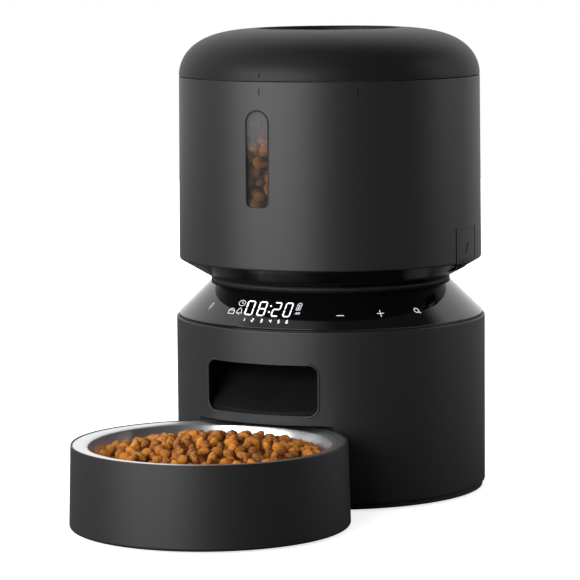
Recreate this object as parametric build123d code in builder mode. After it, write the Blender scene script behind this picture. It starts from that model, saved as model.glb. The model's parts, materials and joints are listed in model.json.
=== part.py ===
"""Automatic pet feeder: a drum-shaped base with a food outlet, a lift-off hopper with a twist lid,
and a steel bowl in a holder that nests into the front of the base.

Millimetres, +Z up, front towards -Y, standing on Z = 0, centred on the overall footprint."""
import math
import os

from build123d import *

os.makedirs("parts", exist_ok=True)

# Overall stack, from the floor up
FOOT_H = 1.0
PLINTH_H = 3.0
BASE_WALL_H = 103.0
JOINT_LINE_H = 1.2
CONE_H = 19.5
NECK_H = 3.1
UNDERSIDE_H = 11.3
HOPPER_WALL_H = 111.5
SEAM_GAP = 0.5
LID_H = 28.4

# Main radii
BASE_R = 95.0
PLINTH_INSET = 1.5
JOINT_LINE_INSET = 2.4
CONE_TOP_R = 74.0
NECK_INSET = 0.6
HOPPER_R = 92.8
HOPPER_DRAFT = 0.8

# Bowl and holder
NEST_DEPTH = 25.0
HOLDER_R = 81.4
HOLDER_DRAFT = 1.4
HOLDER_H = 47.2
HOLDER_WALL = 2.4
BOWL_RIM_T = 1.0
BOWL_FLANGE = 10.0
BOWL_WALL = 0.9
BOWL_FLOOR_R = 48.0
BOWL_FLOOR_Z = 8.0
BOWL_BELLY_INSET = 4.8
BOWL_BELLY_H = 16.5
RECESS_GAP = 1.0
RECESS_HEADROOM = 2.2
TONGUE_W = 12.0
TONGUE_H = 5.0
TONGUE_L = 2.6
TONGUE_SPREAD = 44.0
TONGUE_Z = 14.0

# Walls and fits
WALL = 2.6
HOPPER_WALL = 2.4
SKIN = 2.5
FIT = 0.3
SNUG = 0.15
RUNNING = 0.05
EDGE = 0.8

# Food outlet and chute
OUTLET_W = 73.6
OUTLET_H = 30.0
OUTLET_SILL = 5.7
OUTLET_CORNER = 5.5
CHUTE_WALL = 1.8
CHUTE_DROP = 2.2
CHUTE_ROOF_DEPTH = 24.0
CHUTE_ROOF_RISE = 13.0

# Drop opening through the hopper floor and the deck
DROP_W = 48.0
DROP_MARGIN = 6.0
DROP_CORNER = 6.0
DROP_BACK = 31.0

# Window and release tabs on the hopper
WINDOW_W = 15.0
WINDOW_H = 57.2
WINDOW_RISE = 37.3
WINDOW_CORNER = 3.5
TAB_W = 24.6
TAB_H = 20.4
TAB_SLIT = 0.6
TAB_NOSE_W = 13.0
TAB_NOSE_H = 5.0
TAB_NOSE_T = 4.0
PIVOT_R = 2.0
PIVOT_SINK = 0.6
PIN_R = 1.2
EAR_R = 3.0
EAR_T = 2.4
EAR_ROOT = 1.6
TAB_ANGLES = {"release_tab_right": 90.0, "release_tab_left": -90.0}

# Hopper inside
FUNNEL_WALL = 2.0
FUNNEL_RISE = 34.9
POCKET_INSET = 12.4
POCKET_H = 23.0
BAFFLE_T = 2.0
BAFFLE_HALF_ANGLE = 42.0
FLOOR_T = 3.0

# Metering rotor
ROTOR_GAP = 0.5
ROTOR_H = 19.5
ROTOR_CLEARANCE = 1.4
ROTOR_HUB_R = 14.0
PADDLES = 6
PADDLE_T = 3.0
JOURNAL_R = 11.0
DOG_FLAT = 12.0
DOG_H = 17.0
CAP_H = 7.0
CAP_TAPER = 18
FINGER_R = 2.2
FINGER_LEAN = 34.0
FINGER_L = 34.0

# Lid
LID_SKIN = 2.4
RECESS_R = 42.0
RECESS_DEPTH = 13.0
RECESS_FLARE = 2.5
GRIP_W = 15.0
GRIP_DROP = 1.6
GRIP_TAPER = 6
DOME_POWER = 5
DOME_INSETS = (3.7, 11.7, 28.0)
LINER_T = 2.0
SKIRT_DEPTH = 9.0
SKIRT_T = 2.0
SEAL_H = 4.0
SEAL_T = 1.6
DESICCANT_R = 30.0
DESICCANT_H = 17.0
DESICCANT_WALL = 1.8
DESICCANT_SLOTS = 7
DESICCANT_PITCH = 5.6

# Gear train under the deck
MODULE = 1.0
DEDENDUM = 1.25
PRESSURE_ANGLE = 20
GEAR_TEETH = 48
PINION_TEETH = 16
GEAR_T = 5.0
BACKLASH = 0.22
GEAR_CASE_WALL = 1.8
GEAR_CASE_H = 15.6
GEAR_CLEARANCE = 0.6
GEAR_BOSS_H = 1.2
STUB_R = 3.0
MOTOR_R = 12.0
MOTOR_H = 31.0
MOTOR_SHAFT_R = 1.5

# Batteries, boards and small parts
CELL_R = 16.6
CELL_H = 60.0
CELL_INSET = 30.0
CELL_GAP = 3.722
CELL_CLEARANCE = 0.6
TRAY_WALL = 1.6
DOOR_T = 2.0
CONTACT_T = 0.6
CONTACT_INSET = 2.0
BOARD_T = 1.6
BOARD_L = 56.0
BOARD_H = 58.0
BOARD_INSET = 29.0
CLIP_T = 2.0
CLIP_H = 8.0
CLIP_W = 7.0
DISPLAY_HALF_ANGLE = 19.0
DISPLAY_T = 3.0
TOUCH_FROM = 25.0
TOUCH_TO = 72.0
TOUCH_T = 1.6
SPEAKER_R = 17.0
SPEAKER_H = 9.0
SPEAKER_TAPER = 20
SPEAKER_X = 48.0
SPEAKER_Y = 8.0
GRILLE_HOLE_R = 1.2
GRILLE_RINGS = 2
GRILLE_PITCH = 5.0
GRILLE_STEP = 6
INLET_W = 9.0
INLET_H = 3.3
INLET_L = 7.5
INLET_Z = 16.0
INLET_BODY = 1.5
SENSOR_W = 9.0
SENSOR_H = 12.0
SENSOR_T = 4.0
SCREW_R = 1.5
SCREW_HEAD_R = 2.9
SCREW_HEAD_H = 1.8
SCREW_L = 12.0
BOSS_R = 4.0
BOSS_H = 30.0
SCREW_ANGLES = (48.0, 128.0, 232.0, 312.0)
FOOT_R = 6.0
FOOT_SEAT = 0.6
FOOT_INSET = 19.0
FOOT_ANGLES = (55.0, 118.0, 242.0, 305.0)
HOLDER_FOOT_INSET = 19.4

# Levels and places worked out from the sizes above
BOWL_OFFSET = BASE_R + HOLDER_R - NEST_DEPTH
DEPTH = BASE_R + BOWL_OFFSET + HOLDER_R
TOWER_Y = DEPTH / 2 - BASE_R
BOWL_Y = TOWER_Y - BOWL_OFFSET
PLINTH_R = BASE_R - PLINTH_INSET
Z_BASE = FOOT_H + PLINTH_H
Z_BASE_TOP = Z_BASE + BASE_WALL_H
Z_CONE = Z_BASE_TOP + JOINT_LINE_H
Z_CONE_TOP = Z_CONE + CONE_H
Z_DECK = Z_CONE_TOP + NECK_H
Z_FLOOR = Z_DECK + FLOOR_T
Z_HOPPER = Z_DECK + UNDERSIDE_H
Z_SEAM = Z_HOPPER + HOPPER_WALL_H
Z_LID = Z_SEAM + SEAM_GAP
Z_TOP = Z_LID + LID_H
CONE_R = BASE_R - SKIN / 2
NECK_R = CONE_TOP_R - NECK_INSET
HOPPER_R_TOP = HOPPER_R - HOPPER_DRAFT
REACH = BASE_R + HOPPER_R
RECESS_R_BASE = HOLDER_R + RECESS_GAP
Z_HOLDER_TOP = FOOT_H + HOLDER_H
Z_RIM = Z_HOLDER_TOP + BOWL_RIM_T
Z_RECESS = Z_RIM + RECESS_HEADROOM
OUTLET_Z = Z_RECESS + OUTLET_SILL
OUTLET_TOP = OUTLET_Z + OUTLET_H
WINDOW_Z = Z_HOPPER + WINDOW_RISE
FUNNEL_TOP_Z = Z_HOPPER + FUNNEL_RISE
POCKET_R = NECK_R - POCKET_INSET
DROP_DEPTH = POCKET_R - DROP_BACK - DROP_MARGIN
CELL_RADIUS = BASE_R - CELL_INSET
CELL_STEP = math.degrees(2 * math.asin((CELL_R + CELL_GAP / 2) / CELL_RADIUS))
BOARD_X = BOARD_INSET - BASE_R
FOOT_RADIUS = BASE_R - FOOT_INSET
HOLDER_TOP_R = HOLDER_R - HOLDER_DRAFT
Z_POCKET = Z_FLOOR + POCKET_H
Z_ROTOR = Z_FLOOR + ROTOR_GAP
Z_GEAR_CASE = Z_CONE_TOP - GEAR_CASE_H
Z_GEAR_FLOOR = Z_GEAR_CASE + GEAR_CASE_WALL
Z_GEAR = Z_GEAR_FLOOR + GEAR_CLEARANCE + GEAR_BOSS_H
SCREW_RADIUS = BASE_R - WALL - BOSS_R + EDGE
GEAR_R = MODULE * GEAR_TEETH / 2
PINION_R = MODULE * PINION_TEETH / 2
SHAFT_GAP = GEAR_R + PINION_R + BACKLASH / 2
GEAR_CASE_R = GEAR_R + MODULE + GEAR_CLEARANCE + GEAR_CASE_WALL
PINION_CASE_R = PINION_R + MODULE + GEAR_CLEARANCE + GEAR_CASE_WALL
TOWER_AXIS = Axis((0, TOWER_Y, 0), (0, 0, 1))
BOWL_AXIS = Axis((0, BOWL_Y, 0), (0, 0, 1))
TOWER_SIDE = Plane(origin=(0, TOWER_Y, 0), x_dir=(1, 0, 0), z_dir=(0, -1, 0))
BOWL_SIDE = Plane(origin=(0, BOWL_Y, 0), x_dir=(1, 0, 0), z_dir=(0, -1, 0))
MID_SIDE = Plane(origin=(0, TOWER_Y, 0), x_dir=(0, 1, 0), z_dir=(1, 0, 0))


def tower_level(z):
    """Horizontal plane at height z, centred on the tower."""
    return Plane((0, TOWER_Y, z))


def bowl_level(z):
    """Horizontal plane at height z, centred on the bowl."""
    return Plane((0, BOWL_Y, z))


def facing(angle):
    """Upright plane through the tower axis that faces outward, angle degrees round from the front."""
    turn = math.radians(angle)
    return Plane(
        origin=(0, TOWER_Y, 0),
        x_dir=(math.cos(turn), math.sin(turn), 0),
        z_dir=(math.sin(turn), -math.cos(turn), 0),
    )


def around(angle, radius):
    """Place on a horizontal tower plane, angle degrees round from the front."""
    turn = math.radians(angle)
    return (radius * math.sin(turn), -radius * math.cos(turn))


def hopper_radius(z):
    """Outer radius of the drafted hopper wall at height z."""
    return HOPPER_R - HOPPER_DRAFT * (z - Z_HOPPER) / HOPPER_WALL_H


def cone_radius(z):
    """Outer radius of the control ring's cone at height z."""
    share = (z - Z_CONE) / CONE_H
    return CONE_R + (CONE_TOP_R - CONE_R) * share


def hopper_wall_profile(z_low, z_high, inset, thickness):
    """Four corners of a slice of the hopper wall, inset from its outer face."""
    low = hopper_radius(z_low) - inset
    high = hopper_radius(z_high) - inset
    return [(low - thickness, z_low), (low, z_low), (high, z_high), (high - thickness, z_high)]


def involute_gear(teeth, backlash):
    """Outline of a spur gear with straight-sampled involute flanks."""
    pitch = MODULE * teeth / 2
    base = pitch * math.cos(math.radians(PRESSURE_ANGLE))
    root = pitch - DEDENDUM * MODULE
    tip = pitch + MODULE

    def spread(radius):
        if radius <= base:
            return 0.0
        return math.sqrt((radius / base) ** 2 - 1) - math.acos(base / radius)

    half = math.pi / (2 * teeth) - backlash / (2 * pitch) + spread(pitch)
    flank = [root, max(base, root), pitch, tip]
    outline = []
    for tooth in range(teeth):
        middle = 2 * math.pi * tooth / teeth
        for radius in flank:
            turn = middle - half + spread(radius)
            outline.append((radius * math.cos(turn), radius * math.sin(turn)))
        for radius in reversed(flank):
            turn = middle + half - spread(radius)
            outline.append((radius * math.cos(turn), radius * math.sin(turn)))
    return outline


def sector(r_in, r_out, half_angle):
    """Ring sector centred on the front, on the current sketch."""
    reach = 2 * r_out
    Circle(r_out)
    Circle(r_in, mode=Mode.SUBTRACT)
    Polygon((0, 0), around(-half_angle, reach), around(half_angle, reach), align=None, mode=Mode.INTERSECT)


def drop_hole(margin):
    """Rounded drop opening in front of the drive, grown by margin, on the current sketch."""
    with Locations((0, -DROP_BACK - DROP_DEPTH / 2)):
        RectangleRounded(DROP_W + 2 * margin, DROP_DEPTH + 2 * margin, DROP_CORNER + margin)


CELL_LINE = CenterArc((0, 0), CELL_RADIUS, 90 - CELL_STEP, 2 * CELL_STEP)


def cell_row(height):
    """Rounded slot that follows the three upright cells at the back, on the current sketch."""
    SlotArc(CELL_LINE, height)


CELL_PLACES = [around(180 + step * CELL_STEP, CELL_RADIUS) for step in (-1, 0, 1)]
SCREW_PLACES = [around(angle, SCREW_RADIUS) for angle in SCREW_ANGLES]
FOOT_PLACES = [around(angle, FOOT_RADIUS) for angle in FOOT_ANGLES]
DOOR_SLOT = 2 * (CELL_R + CELL_CLEARANCE)


def save(part, name):
    """Label a finished piece and write it."""
    part.label = name
    export_step(part, "parts/" + name + ".step")


# Base shell: drum wall with the bowl recess, the outlet, the inlet slot and the screw bosses
with BuildPart() as base_cavity:
    with BuildSketch(tower_level(Z_BASE)):
        Circle(BASE_R - WALL)
    extrude(amount=BASE_WALL_H)
    with BuildSketch(bowl_level(Z_BASE)):
        Circle(RECESS_R_BASE + WALL)
    extrude(amount=Z_RECESS + WALL - Z_BASE, mode=Mode.SUBTRACT)

with BuildPart() as base_shell:
    with BuildSketch(tower_level(Z_BASE)):
        Circle(BASE_R)
    extrude(amount=BASE_WALL_H)
    fillet(base_shell.edges().group_by(Axis.Z)[-1], EDGE)
    chamfer(base_shell.edges().group_by(Axis.Z)[0], EDGE)
    with BuildSketch(bowl_level(0)):
        Circle(RECESS_R_BASE)
    extrude(amount=Z_RECESS, mode=Mode.SUBTRACT)
    add(base_cavity.part, mode=Mode.SUBTRACT)
    with BuildSketch(tower_level(Z_BASE)):
        with Locations(*SCREW_PLACES):
            Circle(BOSS_R)
    extrude(amount=BOSS_H)
    with BuildSketch(tower_level(Z_BASE)):
        with Locations(*SCREW_PLACES):
            Circle(SCREW_R + RUNNING)
    extrude(amount=BOSS_H - WALL, mode=Mode.SUBTRACT)
    with BuildSketch(facing(0)):
        with Locations((0, OUTLET_Z + OUTLET_H / 2)):
            RectangleRounded(OUTLET_W, OUTLET_H, OUTLET_CORNER)
    extrude(amount=BASE_R + WALL, mode=Mode.SUBTRACT)
    with BuildSketch(facing(180)):
        with Locations((0, INLET_Z)):
            SlotOverall(INLET_W + 2 * SNUG, INLET_H + 2 * SNUG)
    extrude(amount=BASE_R + WALL, mode=Mode.SUBTRACT)
    with BuildSketch(Plane.XZ.offset(-TOWER_Y)):
        with Locations((-TONGUE_SPREAD / 2, TONGUE_Z), (TONGUE_SPREAD / 2, TONGUE_Z)):
            Rectangle(TONGUE_W + 2 * FIT, TONGUE_H + 2 * FIT)
    extrude(amount=BASE_R, mode=Mode.SUBTRACT)
save(base_shell.part, "base_shell")

# Bottom cover: the black plinth with the battery opening and the speaker grille
with BuildPart() as bottom_cover:
    with BuildSketch(tower_level(FOOT_H)):
        Circle(PLINTH_R)
    extrude(amount=PLINTH_H)
    with BuildSketch(bowl_level(0)):
        Circle(RECESS_R_BASE)
    extrude(amount=Z_BASE, mode=Mode.SUBTRACT)
    with BuildSketch(tower_level(FOOT_H)):
        cell_row(DOOR_SLOT)
    extrude(amount=PLINTH_H, mode=Mode.SUBTRACT)
    with BuildSketch(tower_level(FOOT_H)):
        with Locations((SPEAKER_X, SPEAKER_Y)):
            Circle(GRILLE_HOLE_R)
            for ring in range(1, GRILLE_RINGS + 1):
                with PolarLocations(ring * GRILLE_PITCH, ring * GRILLE_STEP):
                    Circle(GRILLE_HOLE_R)
    extrude(amount=PLINTH_H, mode=Mode.SUBTRACT)
    with BuildSketch(tower_level(FOOT_H)):
        with Locations(*SCREW_PLACES):
            Circle(SCREW_R + FIT)
    extrude(amount=PLINTH_H, mode=Mode.SUBTRACT)
    with BuildSketch(tower_level(FOOT_H)):
        with Locations(*SCREW_PLACES):
            Circle(SCREW_HEAD_R + FIT)
    extrude(amount=SCREW_HEAD_H, mode=Mode.SUBTRACT)
    with BuildSketch(tower_level(FOOT_H)):
        with Locations(*FOOT_PLACES):
            Circle(FOOT_R)
    extrude(amount=FOOT_SEAT, mode=Mode.SUBTRACT)
    with BuildSketch(tower_level(Z_BASE)):
        for side in (-1, 1):
            with Locations((BOARD_X, side * (BOARD_L / 2 - CLIP_W / 2))):
                Rectangle(2 * CLIP_T + BOARD_T + 2 * SNUG, CLIP_W)
    extrude(amount=CLIP_H)
    with BuildSketch(tower_level(Z_BASE)):
        with Locations((BOARD_X, 0)):
            Rectangle(BOARD_T + 2 * SNUG, BOARD_L)
    extrude(amount=CLIP_H, mode=Mode.SUBTRACT)
save(bottom_cover.part, "bottom_cover")

# Rubber feet under the base, seated in shallow pockets
with BuildPart() as base_feet:
    with BuildSketch(tower_level(0)):
        with Locations(*FOOT_PLACES):
            Circle(FOOT_R - SNUG)
    extrude(amount=FOOT_H + FOOT_SEAT)
save(base_feet.part, "base_feet")

# Screws that hold the bottom cover
with BuildPart() as base_screws:
    with BuildSketch(tower_level(FOOT_H)):
        with Locations(*SCREW_PLACES):
            Circle(SCREW_HEAD_R)
    extrude(amount=SCREW_HEAD_H)
    with BuildSketch(tower_level(FOOT_H)):
        with Locations(*SCREW_PLACES):
            Circle(SCREW_R)
    extrude(amount=SCREW_L)
save(base_screws.part, "base_screws")

# Battery tray: one moulding with a tube for each cell, standing on the bottom cover
with BuildPart() as battery_tray:
    with BuildSketch(tower_level(Z_BASE)):
        cell_row(DOOR_SLOT + 2 * TRAY_WALL)
    extrude(amount=CELL_H + 2 * CONTACT_T + TRAY_WALL)
    with BuildSketch(tower_level(Z_BASE)):
        with Locations(*CELL_PLACES):
            Circle(CELL_R + CELL_CLEARANCE)
    extrude(amount=CELL_H + 2 * CONTACT_T, mode=Mode.SUBTRACT)
save(battery_tray.part, "battery_tray")

# Battery door in the bottom cover
with BuildPart() as battery_door:
    with BuildSketch(tower_level(Z_BASE - DOOR_T)):
        cell_row(DOOR_SLOT - 2 * SNUG)
    extrude(amount=DOOR_T)
save(battery_door.part, "battery_door")

# Contact plates under and over the cells
with BuildPart() as battery_contacts:
    for level in (Z_BASE, Z_BASE + CONTACT_T + CELL_H):
        with BuildSketch(tower_level(level)):
            with Locations(*CELL_PLACES):
                Circle(CELL_R - CONTACT_INSET)
        extrude(amount=CONTACT_T)
save(battery_contacts.part, "battery_contacts")

# Three upright cells
with BuildPart() as battery_cells:
    with BuildSketch(tower_level(Z_BASE + CONTACT_T)):
        with Locations(*CELL_PLACES):
            Circle(CELL_R)
    extrude(amount=CELL_H)
    chamfer(battery_cells.edges().group_by(Axis.Z)[-1], EDGE)
save(battery_cells.part, "battery_cells")

# Speaker on the bottom cover, over the grille
with BuildPart() as speaker:
    with BuildSketch(tower_level(Z_BASE)):
        with Locations((SPEAKER_X, SPEAKER_Y)):
            Circle(SPEAKER_R)
    extrude(amount=SPEAKER_H / 2, taper=SPEAKER_TAPER)
    with BuildSketch(tower_level(Z_BASE + SPEAKER_H / 2)):
        with Locations((SPEAKER_X, SPEAKER_Y)):
            Circle(SPEAKER_R / 2)
    extrude(amount=SPEAKER_H / 2)
save(speaker.part, "speaker")

# Main board, held upright in two clips
with BuildPart() as main_board:
    with BuildSketch(tower_level(Z_BASE)):
        with Locations((BOARD_X, 0)):
            Rectangle(BOARD_T, BOARD_L - SNUG)
    extrude(amount=BOARD_H)
save(main_board.part, "main_board")

# Power inlet socket behind its slot in the back wall
with BuildPart() as power_inlet:
    with BuildSketch(facing(180).offset(BASE_R - EDGE - INLET_L)):
        with Locations((0, INLET_Z)):
            SlotOverall(INLET_W, INLET_H)
    extrude(amount=INLET_L)
    with BuildSketch(facing(180).offset(BASE_R - EDGE)):
        with Locations((0, INLET_Z)):
            SlotOverall(INLET_W - 2 * FIT, INLET_H - 2 * FIT)
            SlotOverall(INLET_W - 2 * EDGE - 2 * FIT, FIT, mode=Mode.SUBTRACT)
    extrude(amount=-INLET_L + INLET_BODY, mode=Mode.SUBTRACT)
save(power_inlet.part, "power_inlet")

# Control ring: the gloss cone between base and neck
with BuildPart() as control_ring:
    with BuildSketch(TOWER_SIDE):
        with BuildLine():
            Polyline(
                (BASE_R - JOINT_LINE_INSET - SKIN, Z_BASE_TOP),
                (BASE_R - JOINT_LINE_INSET, Z_BASE_TOP),
                (BASE_R - JOINT_LINE_INSET, Z_CONE),
                (CONE_R, Z_CONE),
                (CONE_TOP_R, Z_CONE_TOP),
                (CONE_TOP_R - 2 * SKIN, Z_CONE_TOP),
                (CONE_R - 2 * SKIN, Z_CONE),
                close=True,
            )
        make_face()
    revolve(axis=TOWER_AXIS)
save(control_ring.part, "control_ring")

# Display and touch boards, curved strips behind the control ring
def ring_strip(depth, thickness, margin):
    """Corners of a strip that lies parallel to the inside of the control ring."""
    low = Z_CONE + margin
    high = Z_CONE_TOP - margin
    return [
        (cone_radius(low) - depth, low),
        (cone_radius(high) - depth, high),
        (cone_radius(high) - depth - thickness, high),
        (cone_radius(low) - depth - thickness, low),
    ]


with BuildPart() as display_module:
    with BuildSketch(facing(-90 - DISPLAY_HALF_ANGLE)):
        Polygon(*ring_strip(2 * SKIN + SNUG, DISPLAY_T, 3 * SKIN / 2), align=None)
    revolve(axis=TOWER_AXIS, revolution_arc=2 * DISPLAY_HALF_ANGLE)
save(display_module.part, "display_module")

with BuildPart() as touch_board:
    with BuildSketch(facing(TOUCH_FROM - 90)):
        Polygon(*ring_strip(2 * SKIN + SNUG, TOUCH_T, 3 * SKIN / 2), align=None)
    revolve(axis=TOWER_AXIS, revolution_arc=TOUCH_TO - TOUCH_FROM)
save(touch_board.part, "touch_board")

# Deck: closes the top of the base, with the drop opening and the drive hole
with BuildPart() as deck:
    with BuildSketch(tower_level(Z_CONE_TOP)):
        Circle(NECK_R)
    extrude(amount=NECK_H)
    chamfer(deck.edges().group_by(Axis.Z)[-1], EDGE)
    with BuildSketch(tower_level(Z_CONE_TOP - SKIN)):
        Circle(CONE_TOP_R - 2 * SKIN - SNUG)
        Circle(CONE_TOP_R - 3 * SKIN - SNUG, mode=Mode.SUBTRACT)
    extrude(amount=SKIN)
    with BuildSketch(tower_level(Z_CONE_TOP)):
        drop_hole(CHUTE_WALL)
    extrude(amount=Z_CONE + SNUG - Z_CONE_TOP)
    with BuildSketch(tower_level(Z_CONE)):
        drop_hole(0)
    extrude(amount=Z_DECK - Z_CONE, mode=Mode.SUBTRACT)
    with BuildSketch(tower_level(Z_CONE_TOP)):
        Circle(JOURNAL_R)
    extrude(amount=NECK_H, mode=Mode.SUBTRACT)
save(deck.part, "deck")

# Food chute from the drop opening down to the outlet
CHUTE_OUTLINE = [
    (-DROP_BACK + FIT, Z_CONE_TOP),
    (-DROP_BACK + FIT, Z_CONE - CHUTE_DROP),
    (-BASE_R, OUTLET_Z),
    (-BASE_R, OUTLET_TOP),
    (-BASE_R + CHUTE_ROOF_DEPTH, OUTLET_TOP),
    (-DROP_BACK - DROP_DEPTH - 2 * CHUTE_WALL, OUTLET_TOP + CHUTE_ROOF_RISE),
    (-DROP_BACK - DROP_DEPTH - 2 * CHUTE_WALL, Z_CONE_TOP),
]
with BuildPart() as chute_space:
    with BuildSketch(MID_SIDE):
        Polygon(*CHUTE_OUTLINE, align=None)
    extrude(amount=OUTLET_W / 2, both=True)

with BuildPart() as food_chute:
    with BuildSketch(MID_SIDE):
        Polygon(*CHUTE_OUTLINE, align=None)
        offset(amount=CHUTE_WALL, kind=Kind.INTERSECTION)
    extrude(amount=OUTLET_W / 2 + CHUTE_WALL, both=True)
    add(chute_space.part, mode=Mode.SUBTRACT)
    with BuildSketch(tower_level(Z_BASE)):
        Circle(BASE_R - WALL - SNUG)
    extrude(amount=Z_CONE - Z_BASE, mode=Mode.INTERSECT)
save(food_chute.part, "food_chute")

# Drop sensors on the two sides of the chute
with BuildPart() as drop_sensors:
    for side in (-1, 1):
        with BuildSketch(Plane.YZ.offset(side * (OUTLET_W / 2 + CHUTE_WALL))):
            with Locations((TOWER_Y - DROP_BACK - DROP_DEPTH, OUTLET_TOP)):
                Rectangle(SENSOR_W, SENSOR_H)
        extrude(amount=side * SENSOR_T)
save(drop_sensors.part, "drop_sensors")

# Gear case under the deck
with BuildPart() as gear_case:
    with BuildSketch(tower_level(Z_GEAR_CASE)):
        Circle(GEAR_CASE_R)
        with Locations((0, SHAFT_GAP)):
            Circle(PINION_CASE_R)
        make_hull()
    extrude(amount=GEAR_CASE_H)
    with BuildSketch(tower_level(Z_GEAR_FLOOR)):
        Circle(GEAR_CASE_R - GEAR_CASE_WALL)
        with Locations((0, SHAFT_GAP)):
            Circle(PINION_CASE_R - GEAR_CASE_WALL)
        make_hull()
    extrude(amount=GEAR_CASE_H, mode=Mode.SUBTRACT)
    with BuildSketch(tower_level(Z_GEAR_CASE)):
        Circle(STUB_R + RUNNING)
        with Locations((0, SHAFT_GAP)):
            Circle(2 * MOTOR_SHAFT_R)
    extrude(amount=GEAR_CASE_WALL, mode=Mode.SUBTRACT)
save(gear_case.part, "gear_case")

# Gear motor hung under the case
with BuildPart() as gear_motor:
    with BuildSketch(tower_level(Z_GEAR_CASE)):
        with Locations((0, SHAFT_GAP)):
            Circle(MOTOR_R)
    extrude(amount=-MOTOR_H)
    chamfer(gear_motor.edges().group_by(Axis.Z)[0], EDGE)
    with BuildSketch(tower_level(Z_GEAR_CASE)):
        with Locations((0, SHAFT_GAP)):
            Circle(MOTOR_SHAFT_R)
    extrude(amount=Z_GEAR + GEAR_T - Z_GEAR_CASE)
save(gear_motor.part, "gear_motor")

# Motor pinion
with BuildPart() as drive_pinion:
    with BuildSketch(tower_level(Z_GEAR)):
        with Locations((0, SHAFT_GAP)):
            Polygon(*involute_gear(PINION_TEETH, BACKLASH), align=None, rotation=180 / PINION_TEETH)
            Circle(MOTOR_SHAFT_R + RUNNING, mode=Mode.SUBTRACT)
    extrude(amount=GEAR_T)
save(drive_pinion.part, "drive_pinion")

# Drive gear with its stub below and the six-sided dog above
with BuildPart() as drive_gear:
    with BuildSketch(tower_level(Z_GEAR)):
        Polygon(*involute_gear(GEAR_TEETH, BACKLASH), align=None, rotation=90)
    extrude(amount=GEAR_T)
    with BuildSketch(tower_level(Z_GEAR)):
        Circle(2 * STUB_R)
    extrude(amount=Z_GEAR_FLOOR + FIT - Z_GEAR)
    with BuildSketch(tower_level(Z_GEAR)):
        Circle(STUB_R)
    extrude(amount=Z_GEAR_CASE - Z_GEAR)
    with BuildSketch(tower_level(Z_GEAR + GEAR_T)):
        RegularPolygon(DOG_FLAT / 2, 6, major_radius=False)
    extrude(amount=DOG_H)
save(drive_gear.part, "drive_gear")

# Hopper base: black underside cone and floor
with BuildPart() as hopper_base:
    with BuildSketch(TOWER_SIDE):
        with BuildLine():
            Polyline(
                (0, Z_DECK),
                (NECK_R - EDGE, Z_DECK),
                (HOPPER_R - EDGE, Z_HOPPER),
                (HOPPER_R - HOPPER_WALL - 2 * SKIN, Z_HOPPER),
                (NECK_R - 2 * SKIN, Z_FLOOR),
                (0, Z_FLOOR),
                close=True,
            )
        make_face()
    revolve(axis=TOWER_AXIS)
    with BuildSketch(tower_level(Z_DECK)):
        drop_hole(0)
    extrude(amount=FLOOR_T, mode=Mode.SUBTRACT)
    with BuildSketch(tower_level(Z_DECK)):
        Circle(JOURNAL_R + RUNNING)
    extrude(amount=FLOOR_T, mode=Mode.SUBTRACT)
    for angle in TAB_ANGLES.values():
        with BuildSketch(facing(angle).offset(NECK_R)):
            with Locations((0, Z_HOPPER - TAB_NOSE_H / 2)):
                Rectangle(TAB_NOSE_W + 2 * TAB_SLIT, TAB_NOSE_H + 2 * TAB_SLIT)
            with Locations((0, Z_HOPPER)):
                Rectangle(TAB_W + 2 * TAB_SLIT, 2 * TAB_SLIT)
        extrude(amount=REACH, mode=Mode.SUBTRACT)
save(hopper_base.part, "hopper_base")

# Pivot of a release tab: a round rib behind its top edge, with a pin at each end
Z_TAB_TOP = Z_HOPPER + TAB_H
Z_PIVOT = Z_TAB_TOP - PIVOT_R
PIVOT_RADIUS = hopper_radius(Z_TAB_TOP) - HOPPER_WALL - PIVOT_R + PIVOT_SINK
PIN_HALF_L = TAB_W / 2 + TAB_SLIT + EAR_T


def pivot_plane(angle, along):
    """Plane square to a tab's pivot line, at a distance along it from the tab's middle."""
    front = facing(angle)
    return Plane(
        origin=front.origin + front.z_dir * PIVOT_RADIUS + front.y_dir * Z_PIVOT + front.x_dir * along,
        x_dir=front.z_dir,
        z_dir=front.x_dir,
    )


# Hopper shell: the drafted drum wall with the window, the two tab openings and the pivot ears
with BuildPart() as hopper_shell:
    with BuildSketch(TOWER_SIDE):
        with BuildLine():
            Polyline(*hopper_wall_profile(Z_HOPPER, Z_SEAM, 0, HOPPER_WALL), close=True)
        make_face()
    revolve(axis=TOWER_AXIS)
    fillet(hopper_shell.edges().group_by(Axis.Z)[0].sort_by(SortBy.RADIUS)[-1], 2 * EDGE)
    with BuildSketch(facing(0)):
        with Locations((0, WINDOW_Z + WINDOW_H / 2)):
            RectangleRounded(WINDOW_W, WINDOW_H, WINDOW_CORNER)
        with Locations((0, WINDOW_Z + WINDOW_H - WINDOW_W / 2)):
            Rectangle(WINDOW_W, WINDOW_W, align=(Align.CENTER, Align.MIN), mode=Mode.SUBTRACT)
            Circle(WINDOW_W / 2)
    extrude(amount=REACH, mode=Mode.SUBTRACT)
    for angle in TAB_ANGLES.values():
        with BuildSketch(facing(angle)):
            with Locations((0, Z_HOPPER)):
                Rectangle(TAB_W + 2 * TAB_SLIT, TAB_H + 2 * TAB_SLIT, align=(Align.CENTER, Align.MIN))
        extrude(amount=REACH, mode=Mode.SUBTRACT)
        for side in (-1, 1):
            with BuildSketch(pivot_plane(angle, side * (PIN_HALF_L - EAR_T))):
                Circle(EAR_R)
                Rectangle(EAR_ROOT, 2 * EAR_R, align=(Align.MIN, Align.CENTER))
            extrude(amount=side * EAR_T)
        with BuildSketch(pivot_plane(angle, -PIN_HALF_L)):
            Circle(PIN_R + RUNNING)
        extrude(amount=2 * PIN_HALF_L, mode=Mode.SUBTRACT)
save(hopper_shell.part, "hopper_shell")

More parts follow.
